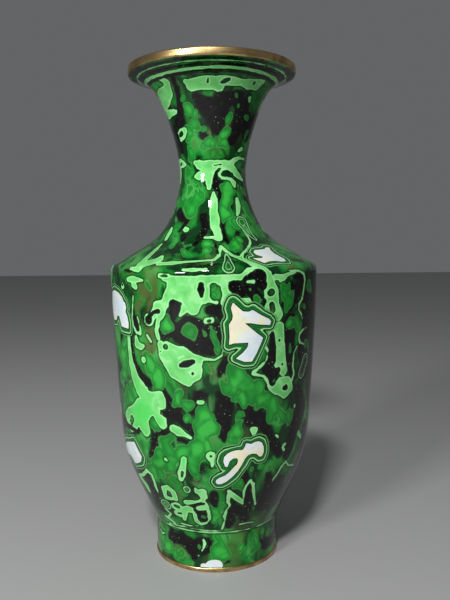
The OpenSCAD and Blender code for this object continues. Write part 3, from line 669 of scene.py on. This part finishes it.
class VaseColours(bpy.types.PropertyGroup):
    bright: colour_property("Bright green", "Ground colour of the light marbling", 114, 206, 114)
    mint: colour_property("Mint", "Edge of the light marbling", 164, 232, 162)
    border: colour_property("Border", "Dark line round the light marbling", 6, 34, 14)
    deep: colour_property("Deep moss", "Darkest of the mossy ground", 10, 54, 22)
    mid: colour_property("Moss", "Middle of the mossy ground", 26, 132, 44)
    fresh: colour_property("Fresh green", "Heart of the soft clouds", 54, 172, 64)
    fresh_light: colour_property("Fresh light", "Clouds inside the light marbling", 70, 208, 84)
    olive: colour_property("Olive", "Brownish patches of the mossy ground", 78, 92, 48)
    lake: colour_property("Black", "Dark lakes", 9, 8, 9)
    lake_light: colour_property("Worn black", "Paler parts of the dark lakes", 26, 21, 23)
    pearl: colour_property("Pearl", "Ground colour of the chips", 222, 228, 225)
    pearl_blue: colour_property("Pearl blue", "Cool sheen of the chips", 206, 222, 228)
    pearl_cream: colour_property("Pearl cream", "Warm sheen of the chips", 232, 228, 186)
    pearl_rose: colour_property("Pearl rose", "Rosy sheen of the chips", 228, 206, 210)
    pearl_grey: colour_property("Pearl grey", "Fine grain of the chips", 190, 198, 206)
    brass: colour_property("Brass", "Clean brass", 216, 188, 132)
    tarnish: colour_property("Tarnish", "Brass where it has darkened", 134, 104, 64)
    copper: colour_property("Copper", "Clean copper", 196, 122, 84)
    solder: colour_property("Braze", "Braze between the copper parts", 168, 164, 154)
    lining: colour_property("Lining", "Glassy lining inside", 14, 34, 24)
    lining_dark: colour_property("Dark lining", "Darker clouds in the lining", 8, 12, 12)


# ---------------------------------------------------------------- finishes
MARBLED = "Marbled green coat"
PEARL = "Mother of pearl"
LINING = "Dark glassy lining"
BRASS = "Worn brass"
COPPER = "Spun copper"
BRAZE = "Dull braze"


class Bench:
    """Adds nodes to a material's or a group's tree and wires them up."""

    def __init__(self, tree):
        self.tree = tree

    def add(self, kind, sockets=None, **settings):
        node = self.tree.nodes.new(kind)
        for key, value in settings.items():
            setattr(node, key, value)
        for key, value in (sockets or {}).items():
            self.wire(value, node.inputs[key])
        return node

    def wire(self, value, socket):
        """Links a node's output to a socket, or sets the socket to a plain value."""
        if isinstance(value, bpy.types.NodeSocket):
            self.tree.links.new(value, socket)
        else:
            socket.default_value = value

    def place(self):
        return self.add("ShaderNodeTexCoord").outputs["Object"]

    def stored(self, name):
        return self.add("ShaderNodeAttribute", attribute_name=name).outputs["Fac"]

    def math(self, operation, *values):
        node = self.add("ShaderNodeMath", operation=operation)
        for value, socket in zip(values, node.inputs):
            self.wire(value, socket)
        return node.outputs[0]

    def ramp(self, value, low, high, start=0.0, end=1.0):
        """Smooth step from start to end as the value goes from low to high."""
        sockets = {"Value": value, "From Min": low, "From Max": high, "To Min": start, "To Max": end}
        return self.add("ShaderNodeMapRange", sockets, interpolation_type="SMOOTHSTEP").outputs[0]

    def mix(self, amount, a, b):
        """Colour a, turning to b as the amount goes from 0 to 1."""
        node = self.add("ShaderNodeMix", data_type="RGBA", clamp_factor=True)
        self.wire(amount, node.inputs[0])
        self.wire(a, node.inputs[6])
        self.wire(b, node.inputs[7])
        return node.outputs[2]

    def noise(self, size_mm, detail=2.0, distortion=0.0, where=None, shift=0.0):
        """Noise whose features are about this many millimetres across."""
        where = where or self.place()
        if shift:
            where = self.add("ShaderNodeVectorMath", {0: where, 1: (shift, shift, shift)}).outputs[0]
        sockets = {"Vector": where, "Scale": 1000 / size_mm, "Detail": detail, "Distortion": distortion}
        return self.add("ShaderNodeTexNoise", sockets).outputs["Fac"]

    def group(self, tree, **sockets):
        node = self.add("ShaderNodeGroup", node_tree=tree)
        for key, value in sockets.items():
            self.wire(value, node.inputs[key.replace("_", " ").capitalize()])
        return node


def start_group(name, inputs, outputs):
    """An empty node group, its bench, and its inputs and outputs; inputs are {name: (kind, default)}."""
    tree = bpy.data.node_groups.new(name, "ShaderNodeTree")
    for socket, (kind, default) in inputs.items():
        tree.interface.new_socket(socket, in_out="INPUT", socket_type=kind).default_value = default
    for socket in outputs:
        tree.interface.new_socket(socket, in_out="OUTPUT", socket_type="NodeSocketFloat")
    bench = Bench(tree)
    return bench, bench.add("NodeGroupInput").outputs, bench.add("NodeGroupOutput").inputs


def contour_group():
    """A line along one level of a field, fading at both sides."""
    number = "NodeSocketFloat"
    inputs = {"Field": (number, 0), "Level": (number, 0), "Width": (number, 0.5)}
    bench, given, made = start_group("Contour line", inputs, ["Line"])
    away = bench.math("ABSOLUTE", bench.math("SUBTRACT", given["Field"], given["Level"]))
    half = bench.math("MULTIPLY", given["Width"], 0.5)
    edge = bench.math("SUBTRACT", half, away)
    scaled = bench.math("DIVIDE", edge, bench.math("MAXIMUM", given["Width"], 0.01))
    bench.wire(bench.ramp(scaled, -0.35, 0.2), made["Line"])
    return bench.tree


def skin_group():
    """The skin of a poured glassy coat: orange peel, faint smears and specks."""
    inputs = {"Peel": ("NodeSocketFloat", 3.0), "Gloss": ("NodeSocketFloat", 0.1)}
    bench, given, made = start_group("Glassy skin", inputs, ["Roughness", "Height"])
    where = bench.place()
    scale = bench.math("DIVIDE", 1000, given["Peel"])
    peel = bench.add("ShaderNodeTexNoise", {"Vector": where, "Scale": scale, "Detail": 1.0}).outputs["Fac"]
    smear = bench.ramp(bench.noise(16, 4, 1.2, where), 0.5, 0.75, 0, 0.07)
    speck = bench.ramp(bench.noise(0.7, 0, 0, where), 0.74, 0.8, 0, 0.2)
    rough = bench.math("ADD", given["Gloss"], bench.math("ADD", smear, speck))
    bench.wire(rough, made["Roughness"])
    bench.wire(bench.math("ADD", peel, bench.math("MULTIPLY", speck, -1.5)), made["Height"])
    return bench.tree


def turning_group():
    """Fine lines left round a turned metal part, and the marks of handling over them."""
    inputs = {"Pitch": ("NodeSocketFloat", 0.3)}
    bench, given, made = start_group("Turning lines", inputs, ["Lines", "Wear"])
    xyz = bench.add("ShaderNodeSeparateXYZ", {"Vector": bench.place()}).outputs
    squares = bench.math("ADD", bench.math("POWER", xyz["X"], 2.0), bench.math("POWER", xyz["Y"], 2.0))
    radius = bench.math("SQRT", squares)
    turn = bench.math("MULTIPLY", bench.math("ARCTAN2", xyz["Y"], xyz["X"]), 0.0008)
    sockets = {"X": radius, "Y": xyz["Z"], "Z": turn}
    along = bench.add("ShaderNodeCombineXYZ", sockets).outputs[0]
    scale = bench.math("DIVIDE", 1000, given["Pitch"])
    lines = bench.add("ShaderNodeTexNoise", {"Vector": along, "Scale": scale, "Detail": 2.0}).outputs["Fac"]
    bench.wire(lines, made["Lines"])
    bench.wire(bench.noise(7, 5, 0.6), made["Wear"])
    return bench.tree


def finish_material(name, colour, roughness, height, bump, **plain):
    """Principled material; plain values go on the shader's own sockets."""
    material = bpy.data.materials.new(name)
    material.use_nodes = True
    bench = Bench(material.node_tree)
    shader = material.node_tree.nodes["Principled BSDF"]
    bench.wire(colour(bench), shader.inputs["Base Color"])
    bench.wire(roughness(bench), shader.inputs["Roughness"])
    sockets = {"Height": height(bench), "Strength": bump, "Distance": 0.0004}
    bench.wire(bench.add("ShaderNodeBump", sockets).outputs[0], shader.inputs["Normal"])
    for socket, value in plain.items():
        shader.inputs[socket.replace("_", " ").title().replace("Ior", "IOR")].default_value = value


class Marbling:
    """The colours of the marbled coat, laid one over another from the ground up."""

    def __init__(self, bench, colours, contour):
        self.bench, self.colours, self.contour = bench, colours, contour
        self.where = bench.place()
        stretched = {"Vector": self.where, "Scale": (1.0, 1.0, 0.62)}
        self.tall = bench.add("ShaderNodeMapping", stretched).outputs[0]
        self.wide = self.swing(bench.noise(5, 2, 0.3, self.where))
        self.fine = self.swing(bench.noise(1.6, 2, 0.2, self.where))
        self.small = bench.noise(7.5, 1.6, 0.8, self.tall, 0.4)
        self.cloud = bench.stored("cloud")

    def swing(self, noise):
        """Noise that swings either side of nothing."""
        return self.bench.math("SUBTRACT", noise, 0.5)

    def wavy(self, field, wide_mm, fine_mm):
        """A stored depth, made uneven by long waves and short ones of these heights."""
        wide_waves = self.bench.math("MULTIPLY", self.wide, wide_mm)
        fine_waves = self.bench.math("MULTIPLY", self.fine, fine_mm)
        waves = self.bench.math("ADD", wide_waves, fine_waves)
        return self.bench.math("ADD", self.bench.stored(field), waves)

    def line(self, field, level, width):
        return self.bench.group(self.contour, field=field, level=level, width=width).outputs["Line"]

    def over(self, under, mask, share, colour):
        """Lays a colour over what is under it, where the mask is, and as thickly as the share."""
        return self.bench.mix(self.bench.math("MULTIPLY", mask, share), under, colour)

    def moss(self):
        """The mossy ground: blotches, dark gaps, and olive where the veils are."""
        bench, colours, ramp = self.bench, self.colours, self.bench.ramp
        blotch = bench.noise(13, 1.5, 0.6, self.tall)
        patches = bench.noise(20, 1.5, 0.4, self.tall, 0.2)
        ragged = bench.math("MULTIPLY", self.swing(self.small), 1.2)
        veil = bench.math("ADD", bench.stored("veil"), ragged)
        ground = bench.mix(ramp(blotch, 0.44, 0.58), colours.deep, colours.mid)
        ground = self.over(ground, ramp(blotch, 0.55, 0.75), 0.3, colours.bright)
        ground = self.over(ground, ramp(self.small, 0.58, 0.72), 0.3, colours.bright)
        ground = self.over(ground, ramp(self.small, 0.44, 0.34), 0.8, colours.border)
        ground = self.over(ground, self.line(blotch, 0.56, 0.016), 0.3, colours.border)
        ground = self.over(ground, ramp(patches, 0.56, 0.68), 0.45, colours.olive)
        ground = self.over(ground, ramp(veil, 0.2, 0.8), 0.85, colours.olive)
        return self.over(ground, ramp(patches, 0.45, 0.34), 0.6, colours.border)

    def lakes(self, under):
        """The dark lakes, with a little grain and a few pale specks."""
        bench, colours = self.bench, self.colours
        grain = bench.ramp(bench.noise(2.5, 3, 0, self.where), 0.45, 0.75)
        specks = bench.ramp(bench.noise(0.8, 0, 0, self.where), 0.8, 0.84)
        lake = bench.mix(grain, colours.lake, colours.lake_light)
        lake = self.over(lake, specks, 0.5, colours.mint)
        return bench.mix(bench.ramp(self.wavy("black", 1.4, 0.4), -1.0, 0.6), under, lake)

    def clouds(self, under):
        """The soft green clouds, fresher at heart, with a light and a dark line round them."""
        bench, colours, ramp = self.bench, self.colours, self.bench.ramp
        swirl = self.swing(bench.noise(8, 1.6, 0.9, self.tall, 0.55))
        swirl = bench.math("MULTIPLY", swirl, ramp(self.cloud, 0.05, 0.4, 0, 1.1))
        puff = bench.math("ADD", self.cloud, swirl)
        colour = self.over(under, ramp(puff, 0.2, 0.46), 0.9, colours.mid)
        colour = self.over(colour, ramp(puff, 0.5, 0.95), 0.9, colours.fresh)
        colour = self.over(colour, self.line(puff, 0.32, 0.07), 0.2, colours.bright)
        return self.over(colour, self.line(puff, 0.46, 0.1), 0.2, colours.deep)

    def patches(self, under):
        """The light patches, with a dark border and a mint line just inside their edge."""
        bench, colours, ramp = self.bench, self.colours, self.bench.ramp
        bright = self.wavy("bright", 1.2, 0.3)
        shade = bench.noise(7, 2, 0.3, self.where, 0.9)
        inner = self.over(colours.bright, ramp(shade, 0.5, 0.68), 0.3, colours.mid)
        inner = self.over(inner, ramp(shade, 0.48, 0.36), 0.45, colours.mint)
        inner = self.over(inner, ramp(self.cloud, 0.1, 0.8), 0.75, colours.fresh_light)
        colour = self.over(under, ramp(bright, -1.2, -0.3), 0.8, colours.border)
        colour = bench.mix(ramp(bright, -0.2, 0.15), colour, inner)
        return self.over(colour, self.line(bright, 0.3, 0.5), 0.6, colours.mint)

    def tongues(self, under):
        """The outlines that have nothing light inside, and a fainter line within each."""
        tongue = self.wavy("tongue", 1.0, 0.6)
        colour = self.over(under, self.line(tongue, 0.0, 1.5), 0.7, self.colours.border)
        colour = self.over(colour, self.line(tongue, 0.0, 0.45), 0.75, self.colours.mint)
        return self.over(colour, self.line(tongue, 1.4, 0.35), 0.4, self.colours.mint)

    def rings(self, under):
        """The contour lines round the chips, swaying more the further out they are."""
        bench, colours = self.bench, self.colours
        spread = bench.math("MULTIPLY", bench.ramp(bench.stored("chip"), 0.5, 2.4), 3.2)
        sway = bench.math("MULTIPLY", self.swing(bench.noise(14, 1, 0.2, self.where, 0.3)), spread)
        chip = bench.math("ADD", self.wavy("chip", 0.7, 0.4), sway)
        colour = self.over(under, bench.ramp(chip, 4.4, 3.0), 0.9, colours.deep)
        lines = [
            (1.2, 1.1, 0.7, colours.mid), (1.15, 0.3, 0.6, colours.border), (2.15, 0.5, 0.85, colours.mint),
            (2.7, 0.55, 0.85, colours.border), (3.4, 0.45, 0.5, colours.bright),
        ]
        for away, width, share, ink in lines:
            colour = self.over(colour, self.line(chip, away, width), share, ink)
        return self.over(colour, bench.ramp(chip, 0.5, 0.2), 0.9, colours.border)


def marbled_colour(bench, colours, contour):
    """Mossy ground, dark lakes, soft clouds, light patches with mint edges, and rings round the chips."""
    marbling = Marbling(bench, colours, contour)
    colour = marbling.moss()
    for layer in (marbling.lakes, marbling.clouds, marbling.patches, marbling.tongues, marbling.rings):
        colour = layer(colour)
    return colour


def pearl_colour(bench, colours):
    """Bluish, creamy and rosy sheens that drift across a chip, under a fine grain."""
    where = bench.place()
    sheen = bench.noise(13, 1.5, 0.6, where, 0.7)
    fine = bench.noise(3, 4, 1.2, where)
    base = bench.mix(bench.ramp(sheen, 0.34, 0.5), colours.pearl_blue, colours.pearl)
    base = bench.mix(bench.ramp(sheen, 0.54, 0.62, 0, 0.8), base, colours.pearl_cream)
    base = bench.mix(bench.ramp(sheen, 0.64, 0.72, 0, 0.6), base, colours.pearl_rose)
    return bench.mix(bench.ramp(fine, 0.5, 0.75, 0, 0.3), base, colours.pearl_grey)


def lining_colour(bench, colours):
    """Dark glass, cloudy here and there."""
    return bench.mix(bench.ramp(bench.noise(9, 4, 0.4), 0.35, 0.7), colours.lining, colours.lining_dark)


def glassy_finish(name, skin, colour, peel, gloss, bump):
    """A poured glassy finish whose skin has a peel of this size in millimetres."""
    def skin_out(output):
        return lambda bench: bench.group(skin, peel=peel, gloss=gloss).outputs[output]

    finish_material(name, colour, skin_out("Roughness"), skin_out("Height"), bump,
                    coat_weight=0.06, coat_roughness=0.03, ior=1.37)


def turned_finish(name, turning, clean, dull, worn, pitch, rough, bump):
    """A metal finish with turning lines of this pitch in millimetres, dulled by a share where it is worn."""
    def colour(bench):
        made = bench.group(turning, pitch=0.5).outputs
        handled = bench.ramp(made["Wear"], 0.4, 0.66, 0, worn)
        lined = bench.ramp(made["Lines"], 0.4, 0.7, 0, worn * 0.5)
        return bench.mix(lined, bench.mix(handled, clean, dull), dull)

    def roughness(bench):
        return bench.ramp(bench.group(turning, pitch=pitch).outputs["Wear"], 0.3, 0.7, *rough)

    def height(bench):
        return bench.group(turning, pitch=pitch).outputs["Lines"]

    finish_material(name, colour, roughness, height, bump, metallic=1.0)


def build_materials(colours):
    """Makes every finish on the vase."""
    contour, skin, turning = contour_group(), skin_group(), turning_group()
    dull = colours.tarnish
    glassy_finish(MARBLED, skin, lambda bench: marbled_colour(bench, colours, contour),
                  peel=3.5, gloss=0.05, bump=0.03)
    glassy_finish(PEARL, skin, lambda bench: pearl_colour(bench, colours), peel=1.2, gloss=0.2, bump=0.08)
    glassy_finish(LINING, skin, lambda bench: lining_colour(bench, colours), peel=4.0, gloss=0.22, bump=0.12)
    turned_finish(BRASS, turning, colours.brass, dull, worn=0.7, pitch=0.25, rough=(0.24, 0.42), bump=0.15)
    turned_finish(COPPER, turning, colours.copper, dull, worn=0.6, pitch=0.4, rough=(0.3, 0.5), bump=0.2)
    turned_finish(BRAZE, turning, colours.solder, dull, worn=0.4, pitch=1.5, rough=(0.4, 0.6), bump=0.3)


def finish_named(name):
    """A finish of the vase, making them all the first time one is wanted."""
    if name not in bpy.data.materials:
        build_materials(bpy.context.scene.vase_colours)
    return bpy.data.materials[name]


# ---------------------------------------------------------------- pieces
SLIM_SEGMENTS = 360  # faces round the foot, the neck and the brass rings
LINING_SEGMENTS = 192
LINING_ROWS = 1.2  # spacing of the points up the neck's lining, in millimetres
FOOT_LINING_ROWS = 2
SHARP = 38  # degrees past which an edge is left sharp
ROUNDED = 40  # degrees past which an edge of a brass ring is rounded
LIP_DIP = 0.2  # how far the lip ring reaches below the rim inside, in millimetres
LIP_RISE = 0.3  # how far its underside rises towards its outer edge
CHIP_CORNER = 0.35  # how far a chip's corners are cut back, in millimetres
CHIP_THICKNESS = 0.5


def settle(name, bm, finish, nodes):
    """Makes the finished mesh an object of the scene, standing for its CAD nodes."""
    if not bm.faces:
        raise RuntimeError(f"{name} came out empty")
    mesh = bpy.data.meshes.new(name)
    bm.to_mesh(mesh)
    bm.free()
    mesh.shade_smooth()
    mesh.set_sharp_from_angle(angle=math.radians(SHARP))
    mesh.materials.append(finish_named(finish))
    piece = bpy.data.objects.new(name, mesh)
    bpy.context.collection.objects.link(piece)
    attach(piece, "root")
    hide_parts(*nodes)
    return piece


def spun(outline, segments, rounding=0.0):
    """Ring spun from a closed outline of (radius, height) in millimetres, its sharp edges rounded."""
    bm = bmesh.new()
    points = [bm.verts.new((r * MM, 0, h * MM)) for r, h in outline]
    for a, b in zip(points, points[1:] + points[:1]):
        bm.edges.new((a, b))
    bmesh.ops.spin(bm, geom=bm.verts[:] + bm.edges[:], cent=(0, 0, 0), axis=(0, 0, 1),
                   angle=math.tau, steps=segments, use_merge=True)
    bmesh.ops.remove_doubles(bm, verts=bm.verts[:], dist=1e-6)
    bmesh.ops.recalc_face_normals(bm, faces=bm.faces[:])
    if rounding:
        sharp = [e for e in bm.edges if e.calc_face_angle(0) > math.radians(ROUNDED)]
        bmesh.ops.bevel(bm, geom=sharp, offset=rounding, offset_type="OFFSET", affect="EDGES",
                        segments=4, profile=0.5, material=-1)
    return bm


def strip_outline(low, high, rows, top, bottom):
    """Closed outline of a strip of the wall between two distances up it and two depths.

    The side nearer the middle of the vase has a sixth of the rows.
    """
    count = max(int((high - low) / rows), 2)
    outer = np.linspace(low, high, count + 1)
    inner = outer[::-6] if count % 6 == 0 else np.append(outer[::-6], low)
    return [*zip(*wall_at(outer, top)), *zip(*wall_at(inner, bottom))]


class VASE_OT_coats(bpy.types.Operator):
    """Builds the marbled coat in five parts, from the foot to the lip"""

    bl_idname = "vase.coats"
    bl_label = "Marbled coats"

    def execute(self, context):
        sizes = context.scene.vase_sizes
        rows, coat = sizes.rows / MM, sizes.coat / MM
        split, top, root = up_at(BODY_SPLIT), up_at(BODY_TOP), up_at(NECK_ROOT)
        parts = [
            ("marbled_foot", BEAD_H, FOOT_H, rows, SLIM_SEGMENTS, "foot_coat"),
            ("marbled_body_low", FOOT_H, split, rows, sizes.segments, "body_coat_low"),
            ("marbled_body_high", split, top, rows, sizes.segments, "body_coat_high"),
            ("marbled_shoulder", top, root, rows * 0.75, sizes.segments, "shoulder_coat"),
            ("marbled_neck", root, WALL_TOP, rows * 0.8, SLIM_SEGMENTS, "neck_coat"),
        ]
        for name, low, high, spacing, segments, node in parts:
            bm = spun(strip_outline(low, high, spacing, 0, coat), segments)
            marble(settle(name, bm, MARBLED, [node]))
        return {"FINISHED"}


def chip_blank(outline, sizes):
    """Flat chip cut to its outline, given a grid and a thickness, and laid on the wall."""
    angle, up = outline.mean(0)
    per_degree = float(wall_at(up)[0]) * math.pi / 180
    bm = bmesh.new()
    rim = [bm.verts.new(((a - angle) * per_degree * MM, (u - up) * MM, 0)) for a, u in outline]
    bm.faces.new(rim)
    bmesh.ops.bevel(bm, geom=bm.verts[:], offset=CHIP_CORNER * MM, offset_type="OFFSET", affect="VERTICES",
                    segments=2, profile=0.5, material=-1)
    for axis in (0, 1):
        low, high = min(v.co[axis] for v in bm.verts), max(v.co[axis] for v in bm.verts)
        cuts = int((high - low) / sizes.chip_grid)
        square = Vector((axis == 0, axis == 1, 0))
        for i in range(1, cuts + 1):
            at = low + (high - low) * i / (cuts + 1)
            bmesh.ops.bisect_plane(bm, geom=bm.verts[:] + bm.edges[:] + bm.faces[:], dist=1e-7,
                                   plane_co=square * at, plane_no=square)
    top = bm.faces[:]
    bottom = bmesh.ops.extrude_face_region(bm, geom=top, use_keep_orig=True)["geom"]
    sunk = [g for g in bottom if isinstance(g, bmesh.types.BMVert)]
    bmesh.ops.translate(bm, verts=sunk, vec=(0, 0, -CHIP_THICKNESS * MM))
    bmesh.ops.recalc_face_normals(bm, faces=bm.faces[:])
    for v in bm.verts:
        out = sizes.chip_proud / MM + v.co.z / MM
        v.co = Vector(place(angle + v.co.x / MM / per_degree, up + v.co.y / MM, out))
    bmesh.ops.recalc_face_normals(bm, faces=bm.faces[:])
    return bm


class VASE_OT_chips(bpy.types.Operator):
    """Builds the mother-of-pearl chips that are let into the coat"""

    bl_idname = "vase.chips"
    bl_label = "Mother-of-pearl chips"

    def execute(self, context):
        sizes = context.scene.vase_sizes
        for node, outline in chip_outlines().items():
            bm = chip_blank(outline, sizes)
            settle(node.replace("pearl", "chip"), bm, PEARL, [node])
        return {"FINISHED"}


class VASE_OT_brass(bpy.types.Operator):
    """Builds the brass rings at the lip and the foot"""

    bl_idname = "vase.brass"
    bl_label = "Brass rings"

    def execute(self, context):
        sizes = context.scene.vase_sizes
        wall = (sizes.coat + sizes.copper + sizes.lining) / MM
        inner = float(wall_at(up_at(NECK_KNOTS[-1][1]), wall)[0])
        rim_r, rim_h = RIM
        inner_h, outer_h = rim_h - LIP_DIP, rim_h + LIP_RISE
        lip = [(inner, inner_h), (rim_r, rim_h), (LIP_R, outer_h), (LIP_R, LIP_TOP), (inner, LIP_TOP)]
        settle("lip_brass", spun(lip, SLIM_SEGMENTS, sizes.brass_round * 0.8), BRASS, ["lip_ring"])
        foot_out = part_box("foot_ring")[1].x / MM
        foot = [(FOOT_R - wall, 0), (foot_out, 0), (foot_out, BEAD_H), (FOOT_R - wall, BEAD_H)]
        bead = spun(foot, SLIM_SEGMENTS, sizes.brass_round * 0.9)
        settle("foot_brass", bead, BRASS, ["foot_ring"])
        return {"FINISHED"}


class VASE_OT_linings(bpy.types.Operator):
    """Builds the linings of the neck and the foot, and finishes the copper and the rest inside"""

    bl_idname = "vase.linings"
    bl_label = "Linings and copper"

    def execute(self, context):
        sizes = context.scene.vase_sizes
        copper = (sizes.coat + sizes.copper) / MM
        wall = copper + sizes.lining / MM
        neck = strip_outline(up_at(NECK_ROOT), up_at(NECK_KNOTS[-1][1]), LINING_ROWS, copper, wall)
        settle("neck_glaze", spun(neck, LINING_SEGMENTS), LINING, ["neck_lining"])
        foot_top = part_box("foot_lining")[1].z / MM
        foot = strip_outline(BEAD_H, foot_top, FOOT_LINING_ROWS, copper, wall)
        settle("foot_glaze", spun(foot, LINING_SEGMENTS), LINING, ["foot_lining"])
        carried = {
            COPPER: ["foot_shell", "base_plate", "body_shell", "shoulder_shell", "neck_shell"],
            BRAZE: ["solder_foot", "solder_shoulder", "solder_neck"],
            LINING: ["base_coat", "body_lining"],
        }
        for finish, nodes in carried.items():
            for node in nodes:
                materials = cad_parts[node].data.materials
                materials.clear()
                materials.append(finish_named(finish))
        return {"FINISHED"}


# ---------------------------------------------------------------- stage
FLOOR_HALF = 3  # half the floor's width, in metres
FLOOR_GREY = 0.42
SKY = (0.75, 0.76, 0.78, 1)
SKY_STRENGTH = 0.17
LAMPS = [("window", (-0.62, -0.88, 0.46), 0.2, 7.5), ("ceiling", (-0.12, -0.7, 0.76), 0.1, 6)]  # size, watts
LAMPS_AIM = (0, 0, 0.14)
CAMERA_PLACE = (0.006, -0.357, 0.166)
CAMERA_DOWN = 5.04  # degrees below level
CAMERA_ROLL = 0.53
CAMERA_LENS = 40.38
CAMERA_SENSOR = 36


class VASE_OT_stage(bpy.types.Operator):
    """Sets the vase on a plain pale floor under soft studio light, with a camera in front of it"""

    bl_idname = "vase.stage"
    bl_label = "Stage"

    def execute(self, context):
        self.floor(context)
        self.sky(context)
        for name, where, size, watts in LAMPS:
            self.lamp(context, name, where, size, watts)
        self.camera(context)
        return {"FINISHED"}

    def floor(self, context):
        bm = bmesh.new()
        bmesh.ops.create_grid(bm, x_segments=8, y_segments=8, size=FLOOR_HALF)
        mesh = bpy.data.meshes.new("floor")
        bm.to_mesh(mesh)
        bm.free()
        floor = bpy.data.objects.new("floor", mesh)
        context.collection.objects.link(floor)
        paper = bpy.data.materials.new("Pale floor")
        paper.use_nodes = True
        shader = paper.node_tree.nodes["Principled BSDF"]
        shader.inputs["Base Color"].default_value = (FLOOR_GREY, FLOOR_GREY, FLOOR_GREY, 1)
        shader.inputs["Roughness"].default_value = 0.8
        mesh.materials.append(paper)

    def sky(self, context):
        world = bpy.data.worlds.new("studio")
        world.use_nodes = True
        background = world.node_tree.nodes["Background"]
        background.inputs["Color"].default_value = SKY
        background.inputs["Strength"].default_value = SKY_STRENGTH
        context.scene.world = world
        context.scene.view_settings.view_transform = "Standard"

    def lamp(self, context, name, where, size, watts):
        light = bpy.data.lights.new(name, "AREA")
        light.size = size
        light.energy = watts
        lamp = bpy.data.objects.new(name, light)
        lamp.location = where
        aim = Vector(LAMPS_AIM) - lamp.location
        lamp.rotation_euler = aim.to_track_quat("-Z", "Y").to_euler()
        context.collection.objects.link(lamp)

    def camera(self, context):
        lens = bpy.data.cameras.new("camera")
        lens.sensor_width = CAMERA_SENSOR
        lens.lens = CAMERA_LENS
        camera = bpy.data.objects.new("camera", lens)
        camera.location = CAMERA_PLACE
        camera.rotation_euler = (math.radians(90 - CAMERA_DOWN), math.radians(CAMERA_ROLL), 0)
        context.collection.objects.link(camera)
        context.scene.camera = camera


# ---------------------------------------------------------------- panel and registration
class VASE_PT_panel(bpy.types.Panel):
    """Lists the steps that build the vase, and its sizes and colours"""

    bl_idname = "VASE_PT_panel"
    bl_label = "Marbled vase"
    bl_space_type = "VIEW_3D"
    bl_region_type = "UI"
    bl_category = "Vase"

    def draw(self, context):
        for step in STEPS:
            self.layout.operator(step.bl_idname)
        for group in (context.scene.vase_sizes, context.scene.vase_colours):
            for name in group.__annotations__:
                self.layout.prop(group, name)


STEPS = [VASE_OT_coats, VASE_OT_chips, VASE_OT_brass, VASE_OT_linings, VASE_OT_stage]
CLASSES = [VaseSizes, VaseColours, *STEPS, VASE_PT_panel]


def register():
    for cls in CLASSES:
        bpy.utils.register_class(cls)
    bpy.types.Scene.vase_sizes = bpy.props.PointerProperty(type=VaseSizes)
    bpy.types.Scene.vase_colours = bpy.props.PointerProperty(type=VaseColours)


def unregister():
    del bpy.types.Scene.vase_colours
    del bpy.types.Scene.vase_sizes
    for cls in reversed(CLASSES):
        bpy.utils.unregister_class(cls)


def main():
    register()
    bpy.ops.vase.coats()
    bpy.ops.vase.chips()
    bpy.ops.vase.brass()
    bpy.ops.vase.linings()
    bpy.ops.vase.stage()


if __name__ == "__main__":
    main()
